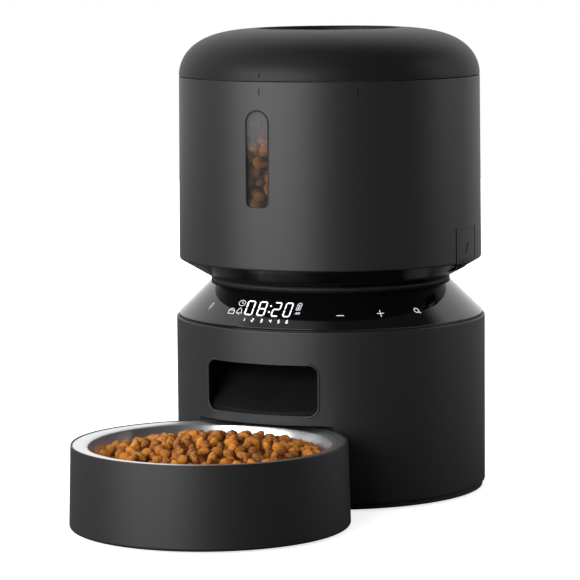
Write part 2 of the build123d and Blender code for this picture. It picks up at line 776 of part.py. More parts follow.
# Window pane, a clear curved lens let into the wall
with BuildPart() as hopper_window:
    with BuildSketch(TOWER_SIDE):
        with BuildLine():
            Polyline(*hopper_wall_profile(Z_HOPPER, Z_SEAM, FIT, HOPPER_WALL - FIT), close=True)
        make_face()
    revolve(axis=TOWER_AXIS)
    with BuildSketch(facing(0)):
        with Locations((0, WINDOW_Z + WINDOW_H / 2)):
            RectangleRounded(WINDOW_W - 2 * SNUG, WINDOW_H - 2 * SNUG, WINDOW_CORNER)
        with Locations((0, WINDOW_Z + WINDOW_H - WINDOW_W / 2)):
            Rectangle(WINDOW_W, WINDOW_W, align=(Align.CENTER, Align.MIN), mode=Mode.SUBTRACT)
            Circle(WINDOW_W / 2 - SNUG)
    extrude(amount=REACH, mode=Mode.INTERSECT)
save(hopper_window.part, "hopper_window")

# Release tabs: tongues in the hopper wall that swing inward about the pivot behind their top edge
for tab_name, angle in TAB_ANGLES.items():
    with BuildPart() as release_tab:
        with BuildSketch(TOWER_SIDE):
            with BuildLine():
                Polyline(*hopper_wall_profile(Z_HOPPER, Z_TAB_TOP, 0, HOPPER_WALL), close=True)
            make_face()
        revolve(axis=TOWER_AXIS)
        with BuildSketch(facing(angle)):
            with Locations((0, Z_HOPPER)):
                Rectangle(TAB_W, TAB_H, align=(Align.CENTER, Align.MIN))
        extrude(amount=REACH, mode=Mode.INTERSECT)
        with BuildSketch(facing(angle).offset(HOPPER_R - EDGE - TAB_NOSE_T)):
            with Locations((0, Z_HOPPER)):
                Rectangle(TAB_NOSE_W, 2 * TAB_NOSE_H)
        extrude(amount=TAB_NOSE_T)
        with BuildSketch(pivot_plane(angle, -TAB_W / 2)):
            Circle(PIVOT_R)
        extrude(amount=TAB_W)
        with BuildSketch(pivot_plane(angle, -PIN_HALF_L)):
            Circle(PIN_R)
        extrude(amount=2 * PIN_HALF_L)
    save(release_tab.part, tab_name)

# Funnel: slopes the food down to the rotor pocket, with the baffle over the drop opening
with BuildPart() as hopper_funnel:
    with BuildSketch(TOWER_SIDE):
        with BuildLine():
            funnel_r = hopper_radius(FUNNEL_TOP_Z) - HOPPER_WALL - SNUG
            Polyline(
                (POCKET_R, Z_FLOOR),
                (POCKET_R + FUNNEL_WALL, Z_FLOOR),
                (POCKET_R + FUNNEL_WALL, Z_POCKET - FUNNEL_WALL),
                (funnel_r, FUNNEL_TOP_Z - FUNNEL_WALL),
                (funnel_r, FUNNEL_TOP_Z),
                (funnel_r - FUNNEL_WALL, FUNNEL_TOP_Z),
                (POCKET_R, Z_POCKET),
                close=True,
            )
        make_face()
    revolve(axis=TOWER_AXIS)
    with BuildSketch(tower_level(Z_POCKET - BAFFLE_T)):
        sector(ROTOR_HUB_R + 2 * ROTOR_CLEARANCE, POCKET_R + FUNNEL_WALL / 2, BAFFLE_HALF_ANGLE)
    extrude(amount=BAFFLE_T)
save(hopper_funnel.part, "hopper_funnel")

# Portion rotor: six paddles on a hub whose journal runs in the hopper floor
with BuildPart() as portion_rotor:
    with BuildSketch(tower_level(Z_ROTOR)):
        Circle(ROTOR_HUB_R)
        with PolarLocations(0, PADDLES):
            Rectangle(POCKET_R - ROTOR_CLEARANCE, PADDLE_T, align=(Align.MIN, Align.CENTER))
    extrude(amount=ROTOR_H)
    with BuildSketch(tower_level(Z_ROTOR)):
        Circle(JOURNAL_R)
    extrude(amount=Z_DECK + EDGE - Z_ROTOR)
    with BuildSketch(tower_level(Z_DECK)):
        RegularPolygon(DOG_FLAT / 2 + FIT, 6, major_radius=False)
    extrude(amount=Z_GEAR + GEAR_T + DOG_H + 2 * FIT - Z_DECK, mode=Mode.SUBTRACT)
save(portion_rotor.part, "portion_rotor")

# Rotor cap with two leaning stirrer fingers
with BuildPart() as stirrer:
    with BuildSketch(tower_level(Z_ROTOR + ROTOR_H)):
        Circle(ROTOR_HUB_R)
    extrude(amount=CAP_H, taper=CAP_TAPER)
    for side in (-1, 1):
        lean = math.radians(side * FINGER_LEAN)
        finger = Plane(
            origin=(0, TOWER_Y, Z_ROTOR + ROTOR_H + CAP_H / 3),
            z_dir=(math.sin(lean), 0, math.cos(lean)),
        )
        with BuildSketch(finger):
            Circle(FINGER_R)
        extrude(amount=FINGER_L)
    split(bisect_by=tower_level(Z_ROTOR + ROTOR_H), keep=Keep.TOP)
save(stirrer.part, "stirrer")

# Lid shell: domed cap with a round grip recess and a bar across it
CROWN_R = RECESS_R + RECESS_FLARE


def dome_spot(inset):
    """Point on the outside of the lid's dome, at an inset from its rim."""
    radius = HOPPER_R_TOP - inset
    full = LID_H / math.sqrt(1 - (CROWN_R / HOPPER_R_TOP) ** DOME_POWER)
    return (radius, Z_LID + full * math.sqrt(1 - (radius / HOPPER_R_TOP) ** DOME_POWER))


DOME_SPOTS = [dome_spot(inset) for inset in DOME_INSETS]
with BuildPart() as lid_shell:
    with BuildSketch(TOWER_SIDE):
        with BuildLine():
            crown = (CROWN_R, Z_TOP)
            under_crown = (CROWN_R + LID_SKIN, Z_TOP - 2 * LID_SKIN)
            shoulder = DOME_SPOTS[1]
            Spline((HOPPER_R_TOP, Z_LID), *DOME_SPOTS, crown, tangents=((0, 1), (-1, 0)))
            Polyline(
                crown,
                (RECESS_R, Z_TOP - RECESS_DEPTH),
                (0, Z_TOP - RECESS_DEPTH),
                (0, Z_TOP - RECESS_DEPTH - LID_SKIN),
                (RECESS_R + LID_SKIN, Z_TOP - RECESS_DEPTH - LID_SKIN),
                under_crown,
            )
            Spline(
                under_crown,
                (shoulder[0] - LID_SKIN, shoulder[1] - LID_SKIN),
                (HOPPER_R_TOP - LID_SKIN, Z_LID),
                tangents=((1, 0), (0, -1)),
            )
            Line((HOPPER_R_TOP - LID_SKIN, Z_LID), (HOPPER_R_TOP, Z_LID))
        make_face()
    revolve(axis=TOWER_AXIS)
    with BuildSketch(tower_level(Z_TOP - RECESS_DEPTH)):
        Rectangle(2 * RECESS_R + RECESS_FLARE, GRIP_W)
    extrude(amount=RECESS_DEPTH - GRIP_DROP, taper=GRIP_TAPER)
save(lid_shell.part, "lid_shell")

# Lid liner: inner plate with the skirt that drops into the hopper mouth
Z_LINER = Z_LID + SNUG
MOUTH_R = min(HOPPER_R_TOP, hopper_radius(Z_LINER - SKIRT_DEPTH)) - HOPPER_WALL
with BuildPart() as lid_liner:
    with BuildSketch(TOWER_SIDE):
        with BuildLine():
            Polyline(
                (DESICCANT_R + 2 * FIT, Z_LINER),
                (MOUTH_R - FIT - SEAL_T - SKIRT_T, Z_LINER),
                (MOUTH_R - FIT - SEAL_T - SKIRT_T, Z_LINER - SKIRT_DEPTH),
                (MOUTH_R - FIT - SEAL_T, Z_LINER - SKIRT_DEPTH),
                (MOUTH_R - FIT - SEAL_T, Z_LINER),
                (HOPPER_R_TOP - LID_SKIN - SNUG, Z_LINER),
                (HOPPER_R_TOP - LID_SKIN - SNUG, Z_LINER + LINER_T),
                (DESICCANT_R + 2 * FIT, Z_LINER + LINER_T),
                close=True,
            )
        make_face()
    revolve(axis=TOWER_AXIS)
save(lid_liner.part, "lid_liner")

# Lid seal: soft ring round the skirt
with BuildPart() as lid_seal:
    with BuildSketch(tower_level(Z_LINER - SKIRT_DEPTH + EDGE)):
        Circle(MOUTH_R - FIT)
        Circle(MOUTH_R - FIT - SEAL_T + RUNNING, mode=Mode.SUBTRACT)
    extrude(amount=SEAL_H)
save(lid_seal.part, "lid_seal")

# Desiccant holder: slotted cup that hangs in the middle of the liner
with BuildPart() as desiccant_holder:
    with BuildSketch(tower_level(Z_LINER + LINER_T + FIT)):
        Circle(DESICCANT_R)
    extrude(amount=-DESICCANT_H)
    with BuildSketch(tower_level(Z_LINER + LINER_T + FIT)):
        Circle(DESICCANT_R + 2 * SKIRT_T)
    extrude(amount=LINER_T)
    with BuildSketch(tower_level(Z_LINER + 2 * LINER_T + FIT)):
        Circle(DESICCANT_R - DESICCANT_WALL)
    extrude(amount=-DESICCANT_H - LINER_T + DESICCANT_WALL, mode=Mode.SUBTRACT)
    with BuildSketch(tower_level(Z_LINER + LINER_T - DESICCANT_H)):
        with GridLocations(0, DESICCANT_PITCH, 1, DESICCANT_SLOTS):
            SlotOverall(DESICCANT_R, 2 * DESICCANT_WALL)
    extrude(amount=2 * DESICCANT_WALL, both=True, mode=Mode.SUBTRACT)
save(desiccant_holder.part, "desiccant_holder")

# Bowl holder: drafted cup with two tongues at the back that slide into the base
with BuildPart() as bowl_holder:
    with BuildSketch(BOWL_SIDE):
        with BuildLine():
            Polyline(
                (0, FOOT_H),
                (HOLDER_R, FOOT_H),
                (HOLDER_TOP_R, Z_HOLDER_TOP),
                (HOLDER_TOP_R - HOLDER_WALL, Z_HOLDER_TOP),
                (HOLDER_R - HOLDER_WALL, FOOT_H + HOLDER_WALL),
                (0, FOOT_H + HOLDER_WALL),
                close=True,
            )
        make_face()
    revolve(axis=BOWL_AXIS)
    fillet(bowl_holder.edges().group_by(Axis.Z)[0], 2 * EDGE)
    with BuildSketch(bowl_level(TONGUE_Z - TONGUE_H / 2)):
        with Locations((-TONGUE_SPREAD / 2, 0), (TONGUE_SPREAD / 2, 0)):
            Rectangle(TONGUE_W, HOLDER_R + TONGUE_L, align=(Align.CENTER, Align.MIN))
        Circle(HOLDER_R - HOLDER_WALL / 2, mode=Mode.SUBTRACT)
    extrude(amount=TONGUE_H)
save(bowl_holder.part, "bowl_holder")

# Holder feet
with BuildPart() as holder_feet:
    with BuildSketch(bowl_level(0)):
        with PolarLocations(HOLDER_R - HOLDER_FOOT_INSET, 4, start_angle=45):
            Circle(FOOT_R)
    extrude(amount=FOOT_H)
save(holder_feet.part, "holder_feet")

# Steel bowl: rolled flange on the holder's rim, round wall and flat floor
with BuildPart() as steel_bowl:
    flange_in = HOLDER_TOP_R - BOWL_FLANGE
    belly_r = flange_in - BOWL_BELLY_INSET
    belly_z = BOWL_FLOOR_Z + BOWL_BELLY_H
    with BuildSketch(BOWL_SIDE):
        with BuildLine():
            Polyline((0, BOWL_FLOOR_Z), (BOWL_FLOOR_R, BOWL_FLOOR_Z))
            ThreePointArc(
                (BOWL_FLOOR_R, BOWL_FLOOR_Z),
                (belly_r, belly_z),
                (flange_in, Z_RIM),
            )
            Polyline(
                (flange_in, Z_RIM),
                (HOLDER_TOP_R, Z_RIM),
                (HOLDER_TOP_R, Z_HOLDER_TOP),
                (flange_in + BOWL_WALL, Z_HOLDER_TOP),
            )
            ThreePointArc(
                (flange_in + BOWL_WALL, Z_HOLDER_TOP),
                (belly_r + BOWL_WALL, belly_z - BOWL_WALL),
                (BOWL_FLOOR_R, BOWL_FLOOR_Z - BOWL_WALL),
            )
            Polyline((BOWL_FLOOR_R, BOWL_FLOOR_Z - BOWL_WALL), (0, BOWL_FLOOR_Z - BOWL_WALL), (0, BOWL_FLOOR_Z))
        make_face()
    revolve(axis=BOWL_AXIS)
    fillet(steel_bowl.edges().group_by(Axis.Z)[-1].sort_by(SortBy.RADIUS)[-1], BOWL_RIM_T / 2)
save(steel_bowl.part, "steel_bowl")
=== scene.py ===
import json
import math

import bmesh
import bpy
from mathutils import Matrix, Vector


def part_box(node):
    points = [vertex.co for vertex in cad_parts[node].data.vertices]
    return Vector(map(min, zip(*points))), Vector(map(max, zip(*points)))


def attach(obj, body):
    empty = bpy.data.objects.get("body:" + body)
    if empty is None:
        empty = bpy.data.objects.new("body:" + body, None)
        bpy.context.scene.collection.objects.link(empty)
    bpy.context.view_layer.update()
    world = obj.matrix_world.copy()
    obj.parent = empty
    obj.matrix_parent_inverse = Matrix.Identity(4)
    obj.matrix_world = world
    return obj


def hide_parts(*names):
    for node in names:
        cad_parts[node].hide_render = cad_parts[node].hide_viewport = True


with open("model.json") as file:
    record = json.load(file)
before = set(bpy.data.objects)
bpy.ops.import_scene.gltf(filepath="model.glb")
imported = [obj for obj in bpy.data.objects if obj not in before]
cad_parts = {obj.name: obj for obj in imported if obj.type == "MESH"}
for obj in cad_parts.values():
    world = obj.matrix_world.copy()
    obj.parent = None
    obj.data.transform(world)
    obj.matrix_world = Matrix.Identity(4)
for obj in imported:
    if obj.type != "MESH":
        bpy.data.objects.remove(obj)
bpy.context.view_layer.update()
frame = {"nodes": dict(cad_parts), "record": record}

base_low, base_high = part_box("base_shell")
holder_low, holder_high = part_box("bowl_holder")
bowl_low, bowl_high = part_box("steel_bowl")
tower = (base_low + base_high) / 2
bowl = (bowl_low + bowl_high) / 2
MM = 0.001


# Camera: a long lens a little above the feeder, turned to its right-hand side.
# Its place was fitted to the outlines of the drum, the lid seam and the bowl.
VIEW_TURN = math.radians(28.5)
VIEW_TILT = math.radians(6.638)
VIEW_ROLL = math.radians(-0.471)
VIEW_DISTANCE = 1.8344
VIEW_SIDE = -0.0251
VIEW_HEIGHT = 0.3347
LENS_MM = 185.72
SENSOR_MM = 36.0
FAR_CLIP = 20.0


def beside_camera(right, away, up):
    """Place given from the tower axis in the camera's own right and away directions."""
    turn = Matrix.Rotation(VIEW_TURN, 4, "Z")
    return Vector((tower.x, tower.y, 0)) + turn @ Vector((right, away, up))


camera_data = bpy.data.cameras.new("camera")
camera_data.lens = LENS_MM
camera_data.sensor_width = SENSOR_MM
camera_data.clip_end = FAR_CLIP
camera = bpy.data.objects.new("camera", camera_data)
bpy.context.scene.collection.objects.link(camera)
camera.matrix_world = (
    Matrix.Translation(beside_camera(VIEW_SIDE, -VIEW_DISTANCE, VIEW_HEIGHT))
    @ Matrix.Rotation(VIEW_TURN, 4, "Z")
    @ Matrix.Rotation(math.pi / 2 - VIEW_TILT, 4, "X")
    @ Matrix.Rotation(VIEW_ROLL, 4, "Z")
)
bpy.context.scene.camera = camera


# Studio: a white table, a bright wall behind the feeder, a bright patch above and two soft boxes.
# Seen straight, table and room are white. To light that bounces they are darker,
# so that the black plastic stays black.
WHITE = (1, 1, 1, 1)
AIM_HEIGHT = 0.14
TABLE_R = 2.4
TABLE_STEPS = 96
TABLE_DROP = 0.0004
TABLE_GREY = (0.82, 0.82, 0.82, 1)
TABLE_GLOW = (0.76, 1.0)
TABLE_GLOW_SPAN = (0.25, 0.8)
TABLE_BOUNCE = (0.15, 0.15, 0.15, 1)
TABLE_SIDE = (1, 0, 0)
TABLE_SIDE_GLOW = 0.28
TABLE_SIDE_SPAN = (0.15, 0.8)
ROOM_GREY = 0.07
WALL_GLOW = 1.05
WALL_AIM = (-0.15, 0.99, 0)
WALL_SPAN = (0.2, 0.42)
PATCH_GLOW = 0.95
PATCH_AIM = (-0.6, -0.35, 0.72)
PATCH_SPAN = (0.72, 0.97)
SOFT_BOXES = [
    ("key_left", (-1.02, -1.05, 0.45), (1.7, 0.9), 40.0),
    ("side_right", (1.38, 0.08, 0.6), (0.7, 1.0), 5.5),
]


def empty_tree(owner):
    """Empty the node tree of a material or world and return it."""
    owner.use_nodes = True
    owner.node_tree.nodes.clear()
    return owner.node_tree


def set_sockets(tree, node, sockets):
    """Give each named socket of a node a value, or the output that feeds it."""
    for socket, value in sockets.items():
        if isinstance(value, bpy.types.NodeSocket):
            tree.links.new(value, node.inputs[socket])
        else:
            node.inputs[socket].default_value = value


def add_node(tree, kind, sockets=None, **settings):
    """New node with its settings and sockets."""
    node = tree.nodes.new(kind)
    for setting, value in settings.items():
        setattr(node, setting, value)
    set_sockets(tree, node, sockets or {})
    return node


def vector_math(tree, operation, sockets):
    """New vector math node; returns its outputs."""
    return add_node(tree, "ShaderNodeVectorMath", sockets, operation=operation).outputs


def number_math(tree, operation, *values):
    """Output of a math node that takes numbers or other outputs."""
    return add_node(tree, "ShaderNodeMath", dict(enumerate(values)), operation=operation).outputs[0]


def remap(tree, value, source, target, interpolation="LINEAR"):
    """Output that carries a value from one span over to another."""
    spans = {"From Min": source[0], "From Max": source[1], "To Min": target[0], "To Max": target[1]}
    node = add_node(tree, "ShaderNodeMapRange", spans, interpolation_type=interpolation)
    tree.links.new(value, node.inputs["Value"])
    return node.outputs["Result"]


def object_place(tree):
    """Output with the place of each point in the object's own frame."""
    return add_node(tree, "ShaderNodeTexCoord").outputs["Object"]


def reach_along(tree, place, aim):
    """Output that tells how far a place lies in one of the camera's own directions."""
    direction = Matrix.Rotation(VIEW_TURN, 3, "Z") @ Vector(aim)
    return vector_math(tree, "DOT_PRODUCT", {0: place, 1: direction})["Value"]


def seen_or_thrown(tree, seen, thrown):
    """Shader that is one thing to camera and see-through rays and another to light that bounces."""
    rays = add_node(tree, "ShaderNodeLightPath").outputs
    straight = number_math(tree, "MAXIMUM", rays["Is Camera Ray"], rays["Is Transmission Ray"])
    return add_node(tree, "ShaderNodeMixShader", {"Fac": straight, 1: thrown, 2: seen}).outputs[0]


def glowing_matt(tree, colour, strength):
    """Shader of a matt surface that also gives off light."""
    matt = add_node(tree, "ShaderNodeBsdfDiffuse", {"Color": colour}).outputs[0]
    glow = add_node(tree, "ShaderNodeEmission", {"Strength": strength}).outputs[0]
    return add_node(tree, "ShaderNodeAddShader", {0: matt, 1: glow}).outputs[0]


def new_piece(name, build):
    """Make a linked object from a mesh under construction."""
    mesh = bpy.data.meshes.new(name)
    build.to_mesh(mesh)
    build.free()
    piece = bpy.data.objects.new(name, mesh)
    bpy.context.scene.collection.objects.link(piece)
    return piece


def soft_box(name, place, size, watts):
    """Rectangular lamp aimed at the middle of the feeder."""
    lamp = bpy.data.lights.new(name, "AREA")
    lamp.shape = "RECTANGLE"
    lamp.size, lamp.size_y = size
    lamp.energy = watts
    holder = bpy.data.objects.new(name, lamp)
    holder.location = beside_camera(*place)
    aim = Vector((tower.x, tower.y, AIM_HEIGHT)) - holder.location
    holder.rotation_euler = aim.to_track_quat("-Z", "Y").to_euler()
    bpy.context.scene.collection.objects.link(holder)


for soft_box_values in SOFT_BOXES:
    soft_box(*soft_box_values)

room = bpy.data.worlds.new("room")
bpy.context.scene.world = room
room_tree = empty_tree(room)
room_place = add_node(room_tree, "ShaderNodeTexCoord").outputs["Generated"]
room_glow = ROOM_GREY
for aim, span, glow in ((WALL_AIM, WALL_SPAN, WALL_GLOW), (PATCH_AIM, PATCH_SPAN, PATCH_GLOW)):
    level = remap(room_tree, reach_along(room_tree, room_place, aim), span, (0, glow), "SMOOTHSTEP")
    room_glow = number_math(room_tree, "ADD", room_glow, level)
room_shaders = []
for strength in (1.0, room_glow):
    room_light = {"Color": WHITE, "Strength": strength}
    room_shaders.append(add_node(room_tree, "ShaderNodeBackground", room_light).outputs[0])
add_node(room_tree, "ShaderNodeOutputWorld", {"Surface": seen_or_thrown(room_tree, *room_shaders)})

table_build = bmesh.new()
bmesh.ops.create_circle(table_build, cap_ends=True, segments=TABLE_STEPS, radius=TABLE_R)
table = new_piece("table", table_build)
table.data.transform(Matrix.Translation((tower.x, tower.y, -TABLE_DROP)))
table_white = bpy.data.materials.new("table_white")
table_tree = empty_tree(table_white)
table_place = object_place(table_tree)
table_far = vector_math(table_tree, "DISTANCE", {0: table_place, 1: (tower.x, tower.y, 0)})["Value"]
table_right = reach_along(table_tree, table_place, TABLE_SIDE)
table_light = remap(table_tree, table_far, TABLE_GLOW_SPAN, TABLE_GLOW)
table_bounce = remap(table_tree, table_right, TABLE_SIDE_SPAN, (0, TABLE_SIDE_GLOW))
table_face = seen_or_thrown(
    table_tree,
    glowing_matt(table_tree, TABLE_GREY, table_light),
    glowing_matt(table_tree, TABLE_BOUNCE, table_bounce),
)
add_node(table_tree, "ShaderNodeOutputMaterial", {"Surface": table_face})
table.data.materials.append(table_white)


# Base shell: the drum of the base, moulded in satin charcoal plastic with a fine grain.
# The outlet is cut through its front with a bead round it, and a hollow below it lets the bowl in.
RING_STEPS = 192
AXIS_NEAR = 1e-7
ARC_SHARE = 0.49
SOFT_EDGE = 0.9 * MM
CUT_SLACK = 0.05 * MM
WELD_REACH = 0.001 * MM
TOOL_NEAR = 0.6
TOOL_FAR = 1.2
WALL = 2.6 * MM
OUTLET_W = 73.6 * MM
OUTLET_H = 30.0 * MM
OUTLET_Z = 57.1 * MM
OUTLET_CORNER = 5.5 * MM
RECESS_GAP = 1.0 * MM
RECESS_TOP = 51.4 * MM
INLET_GAP = 0.3 * MM
LIP_R = 0.75 * MM
LIP_STEPS = 10
LIP_SINK = 0.45
CHARCOAL = (0.010, 0.010, 0.0106, 1)
GRAIN_DETAIL = 2.0
GRAIN_ROUGH = 0.14
GRAIN_STRENGTH = 0.35
SATIN_DEPTH = 0.05 * MM
SATIN_SPREAD = 0.35


def rounded(corners, steps=5):
    """Closed outline from (radius, height, rounding) corners, with an arc at each rounded one."""
    outline = []
    count = len(corners)
    for index, (r, z, rounding) in enumerate(corners):
        here = Vector((r, z))
        before = Vector(corners[index - 1][:2]) - here
        after = Vector(corners[(index + 1) % count][:2]) - here
        if rounding <= 0:
            outline.append(here)
            continue
        half = before.angle(after) / 2
        reach = min(rounding / math.tan(half), ARC_SHARE * before.length, ARC_SHARE * after.length)
        radius = reach * math.tan(half)
        bisector = (before.normalized() + after.normalized()).normalized()
        centre = here + bisector * (radius / math.sin(half))
        start = here + before.normalized() * reach - centre
        sweep = start.angle_signed(here + after.normalized() * reach - centre)
        for step in range(steps + 1):
            turned = start.copy()
            turned.rotate(Matrix.Rotation(-sweep * step / steps, 2))
            outline.append(centre + turned)
    return outline


def arc(x, z, radius, first, last, steps):
    """Flat points along an arc, from one angle to another in degrees."""
    points = []
    for step in range(steps + 1):
        turn = math.radians(first + (last - first) * step / steps)
        points.append((x + radius * math.cos(turn), z + radius * math.sin(turn)))
    return points


def rounded_box(width, height, corner, middle, steps=6):
    """Outline of a rectangle with round corners, about a middle height."""
    outline = []
    side, rise = width / 2 - corner, height / 2 - corner
    for sign_x, sign_z, first in ((1, 1, 0), (-1, 1, 90), (-1, -1, 180), (1, -1, 270)):
        outline += arc(sign_x * side, middle + sign_z * rise, corner, first, first + 90, steps)
    return outline


def band(build, first, second, closed=True):
    """Faces between two rows of points."""
    for step in range(len(first) if closed else len(first) - 1):
        beside = (step + 1) % len(first)
        corners = dict.fromkeys([first[step], first[beside], second[beside], second[step]])
        if len(corners) > 2:
            build.faces.new(list(corners))


def closed_piece(name, build):
    """Make an object from a closed mesh and turn its faces outward."""
    bmesh.ops.recalc_face_normals(build, faces=build.faces)
    return new_piece(name, build)


def level_ring(build, x, y, radius, z, steps):
    """Points of a level circle, added to a mesh under construction."""
    points = []
    for step in range(steps):
        turn = 2 * math.pi * step / steps
        points.append(build.verts.new((x + radius * math.cos(turn), y + radius * math.sin(turn), z)))
    return points


def lathe(name, outline, centre, steps=RING_STEPS):
    """Closed mesh from an outline of (radius, height) points turned about an upright axis."""
    build = bmesh.new()
    rings = []
    for r, z in outline:
        if r < AXIS_NEAR:
            rings.append([build.verts.new((centre.x, centre.y, z))] * steps)
        else:
            rings.append(level_ring(build, centre.x, centre.y, r, z, steps))
    for ring, following in zip(rings, rings[1:] + rings[:1]):
        band(build, ring, following)
    return closed_piece(name, build)


def solid_disc(name, radius, low, high, centre):
    """Plain upright cylinder used as a cutting tool."""
    return lathe(name, [(0, low), (radius, low), (radius, high), (0, high)], centre)


def prism(name, outline, near, far, angle):
    """Closed bar with an (x, z) outline, from near to far off the tower axis, at an angle from the front."""
    build = bmesh.new()
    place = Matrix.Translation((tower.x, tower.y, 0)) @ Matrix.Rotation(math.radians(angle), 4, "Z")
    ends = []
    for depth in (near, far):
        ends.append([build.verts.new(place @ Vector((x, -depth, z))) for x, z in outline])
    build.faces.new(ends[0])
    build.faces.new(list(reversed(ends[1])))
    band(build, *ends)
    return closed_piece(name, build)


def wall_tool(name, outline, angle):
    """Bar that cuts an outline through the tower's wall."""
    return prism(name, outline, TOOL_NEAR * base_r, TOOL_FAR * base_r, angle)


def bake(piece):
    """Turn a piece and its modifiers into one plain mesh."""
    bpy.context.view_layer.update()
    shaped = piece.evaluated_get(bpy.context.evaluated_depsgraph_get())
    mesh = bpy.data.meshes.new_from_object(shaped)
    piece.modifiers.clear()
    piece.data = mesh


def cut(piece, *tools):
    """Take the tools out of the piece and remove them."""
    for tool in tools:
        step = piece.modifiers.new("cut", "BOOLEAN")
        step.operation = "DIFFERENCE"
        step.solver = "EXACT"
        step.object = tool
        bake(piece)
        bpy.data.objects.remove(tool)


def weld(piece, reach):
    """Merge points closer than reach, drop the faces that vanish and close the gaps that cuts leave."""
    build = bmesh.new()
    build.from_mesh(piece.data)
    bmesh.ops.remove_doubles(build, verts=build.verts, dist=reach)
    bmesh.ops.dissolve_degenerate(build, dist=reach, edges=build.edges)
    gaps = [edge for edge in build.edges if edge.is_boundary]
    if gaps:
        bmesh.ops.holes_fill(build, edges=gaps)
        bmesh.ops.recalc_face_normals(build, faces=build.faces)
    build.to_mesh(piece.data)
    build.free()


def smooth(piece, angle):
    """Shade round faces smoothly, led by the large faces, and keep the sharp edges."""
    weld(piece, WELD_REACH)
    piece.data.shade_smooth()
    piece.data.set_sharp_from_angle(angle=math.radians(angle))
    weighted = piece.modifiers.new("weighted", "WEIGHTED_NORMAL")
    weighted.keep_sharp = True
    bake(piece)


def finish_piece(piece, material, body, slot, *nodes, angle=32):
    """Shade a piece smoothly where asked, and give it its finish, its body and the solids it stands for."""
    if angle:
        smooth(piece, angle)
    piece.data.materials.clear()
    piece.data.materials.append(material)
    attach(piece, body)
    if nodes:
        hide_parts(*nodes)


def shader(name, colour, roughness, more):
    """New material with one Principled shader; returns the material, its tree and the shader."""
    material = bpy.data.materials.new(name)
    tree = empty_tree(material)
    sockets = {"Base Color": colour, "Roughness": roughness, **more}
    surface = add_node(tree, "ShaderNodeBsdfPrincipled", sockets)
    add_node(tree, "ShaderNodeOutputMaterial", {"Surface": surface.outputs[0]})
    return material, tree, surface


def bump(tree, strength, depth, height):
    """Output with the normals of a fine relief."""
    relief = {"Strength": strength, "Distance": depth, "Height": height}
    return add_node(tree, "ShaderNodeBump", relief).outputs["Normal"]


def grained(name, colour, roughness, size, depth, spread, more):
    """New material with moulded grain: specks of colour, roughness and height from noise of one size."""
    material, tree, surface = shader(name, colour, roughness, more)
    noise = {"Vector": object_place(tree), "Scale": 1 / size, "Detail": GRAIN_DETAIL}
    speck = add_node(tree, "ShaderNodeTexNoise", noise).outputs["Fac"]
    tint = remap(tree, speck, (0, 1), (1 - spread, 1 + spread))
    rough = remap(tree, speck, (0, 1), ((1 - GRAIN_ROUGH) * roughness, (1 + GRAIN_ROUGH) * roughness))
    grain = {
        "Base Color": vector_math(tree, "SCALE", {0: colour[:3], "Scale": tint})["Vector"],
        "Roughness": rough,
        "Normal": bump(tree, GRAIN_STRENGTH, depth, speck),
    }
    set_sockets(tree, surface, grain)
    return material


def satin_plastic(name, colour, roughness=0.44, size=0.7 * MM, shine=0.3):
    """Satin moulded plastic with a fine grain."""
    return grained(name, colour, roughness, size, SATIN_DEPTH, SATIN_SPREAD, {"Specular IOR Level": shine})


def lip(name, path, wall_r, size, material, body, slot):
    """Round bead, half sunk, that follows a closed path of (side, height) points on the tower's wall."""
    build = bmesh.new()
    rows = []
    for index, (x, z) in enumerate(path):
        before, after = Vector(path[index - 1]), Vector(path[(index + 1) % len(path)])
        outward = Vector((after.y - before.y, before.x - after.x)).normalized()
        row = []
        for step in range(LIP_STEPS):
            turn = 2 * math.pi * step / LIP_STEPS
            side = x + outward.x * size * math.cos(turn)
            r = wall_r + size * (math.sin(turn) - LIP_SINK)
            high = z + outward.y * size * math.cos(turn)
            row.append(build.verts.new((tower.x + side, tower.y - math.sqrt(r**2 - side**2), high)))
        rows.append(row)
    for row, beyond in zip(rows, rows[1:] + rows[:1]):
        band(build, row, beyond)
    piece = closed_piece(name, build)
    finish_piece(piece, material, body, slot, angle=60)


charcoal = satin_plastic("satin_charcoal", CHARCOAL)
base_r = (base_high.x - base_low.x) / 2
base_z, base_top = base_low.z, base_high.z
recess_r = holder_high.x + RECESS_GAP
base_outline = [(0, base_z, 0), (base_r, base_z, SOFT_EDGE), (base_r, base_top, SOFT_EDGE), (0, base_top, 0)]
base_drum = lathe("base_drum", rounded(base_outline), tower)
base_inside = solid_disc("base_inside", base_r - WALL, base_z - WALL, base_top + WALL, tower)
cut(base_inside, solid_disc("recess_back", recess_r + WALL, 0, RECESS_TOP + WALL, bowl))
recess_tool = solid_disc("recess_tool", recess_r, 0, RECESS_TOP, bowl)
outlet_middle = OUTLET_Z + OUTLET_H / 2
outlet_tool = wall_tool("outlet_tool", rounded_box(OUTLET_W, OUTLET_H, OUTLET_CORNER, outlet_middle), 0)
inlet_low, inlet_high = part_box("power_inlet")
inlet_size = inlet_high - inlet_low
inlet_middle = (inlet_low.z + inlet_high.z) / 2
inlet_hole = rounded_box(inlet_size.x + INLET_GAP, inlet_size.z + INLET_GAP, inlet_size.z / 2, inlet_middle)
inlet_tool = wall_tool("inlet_tool", inlet_hole, 180)
cut(base_drum, recess_tool, base_inside, outlet_tool, inlet_tool)
weld(base_drum, CUT_SLACK)
finish_piece(base_drum, charcoal, "base", "satin_black", "base_shell")
lip_path = rounded_box(OUTLET_W + 2 * LIP_R, OUTLET_H + 2 * LIP_R, OUTLET_CORNER + LIP_R, outlet_middle)
lip("outlet_lip", lip_path, base_r, LIP_R, charcoal, "base", "satin_black")


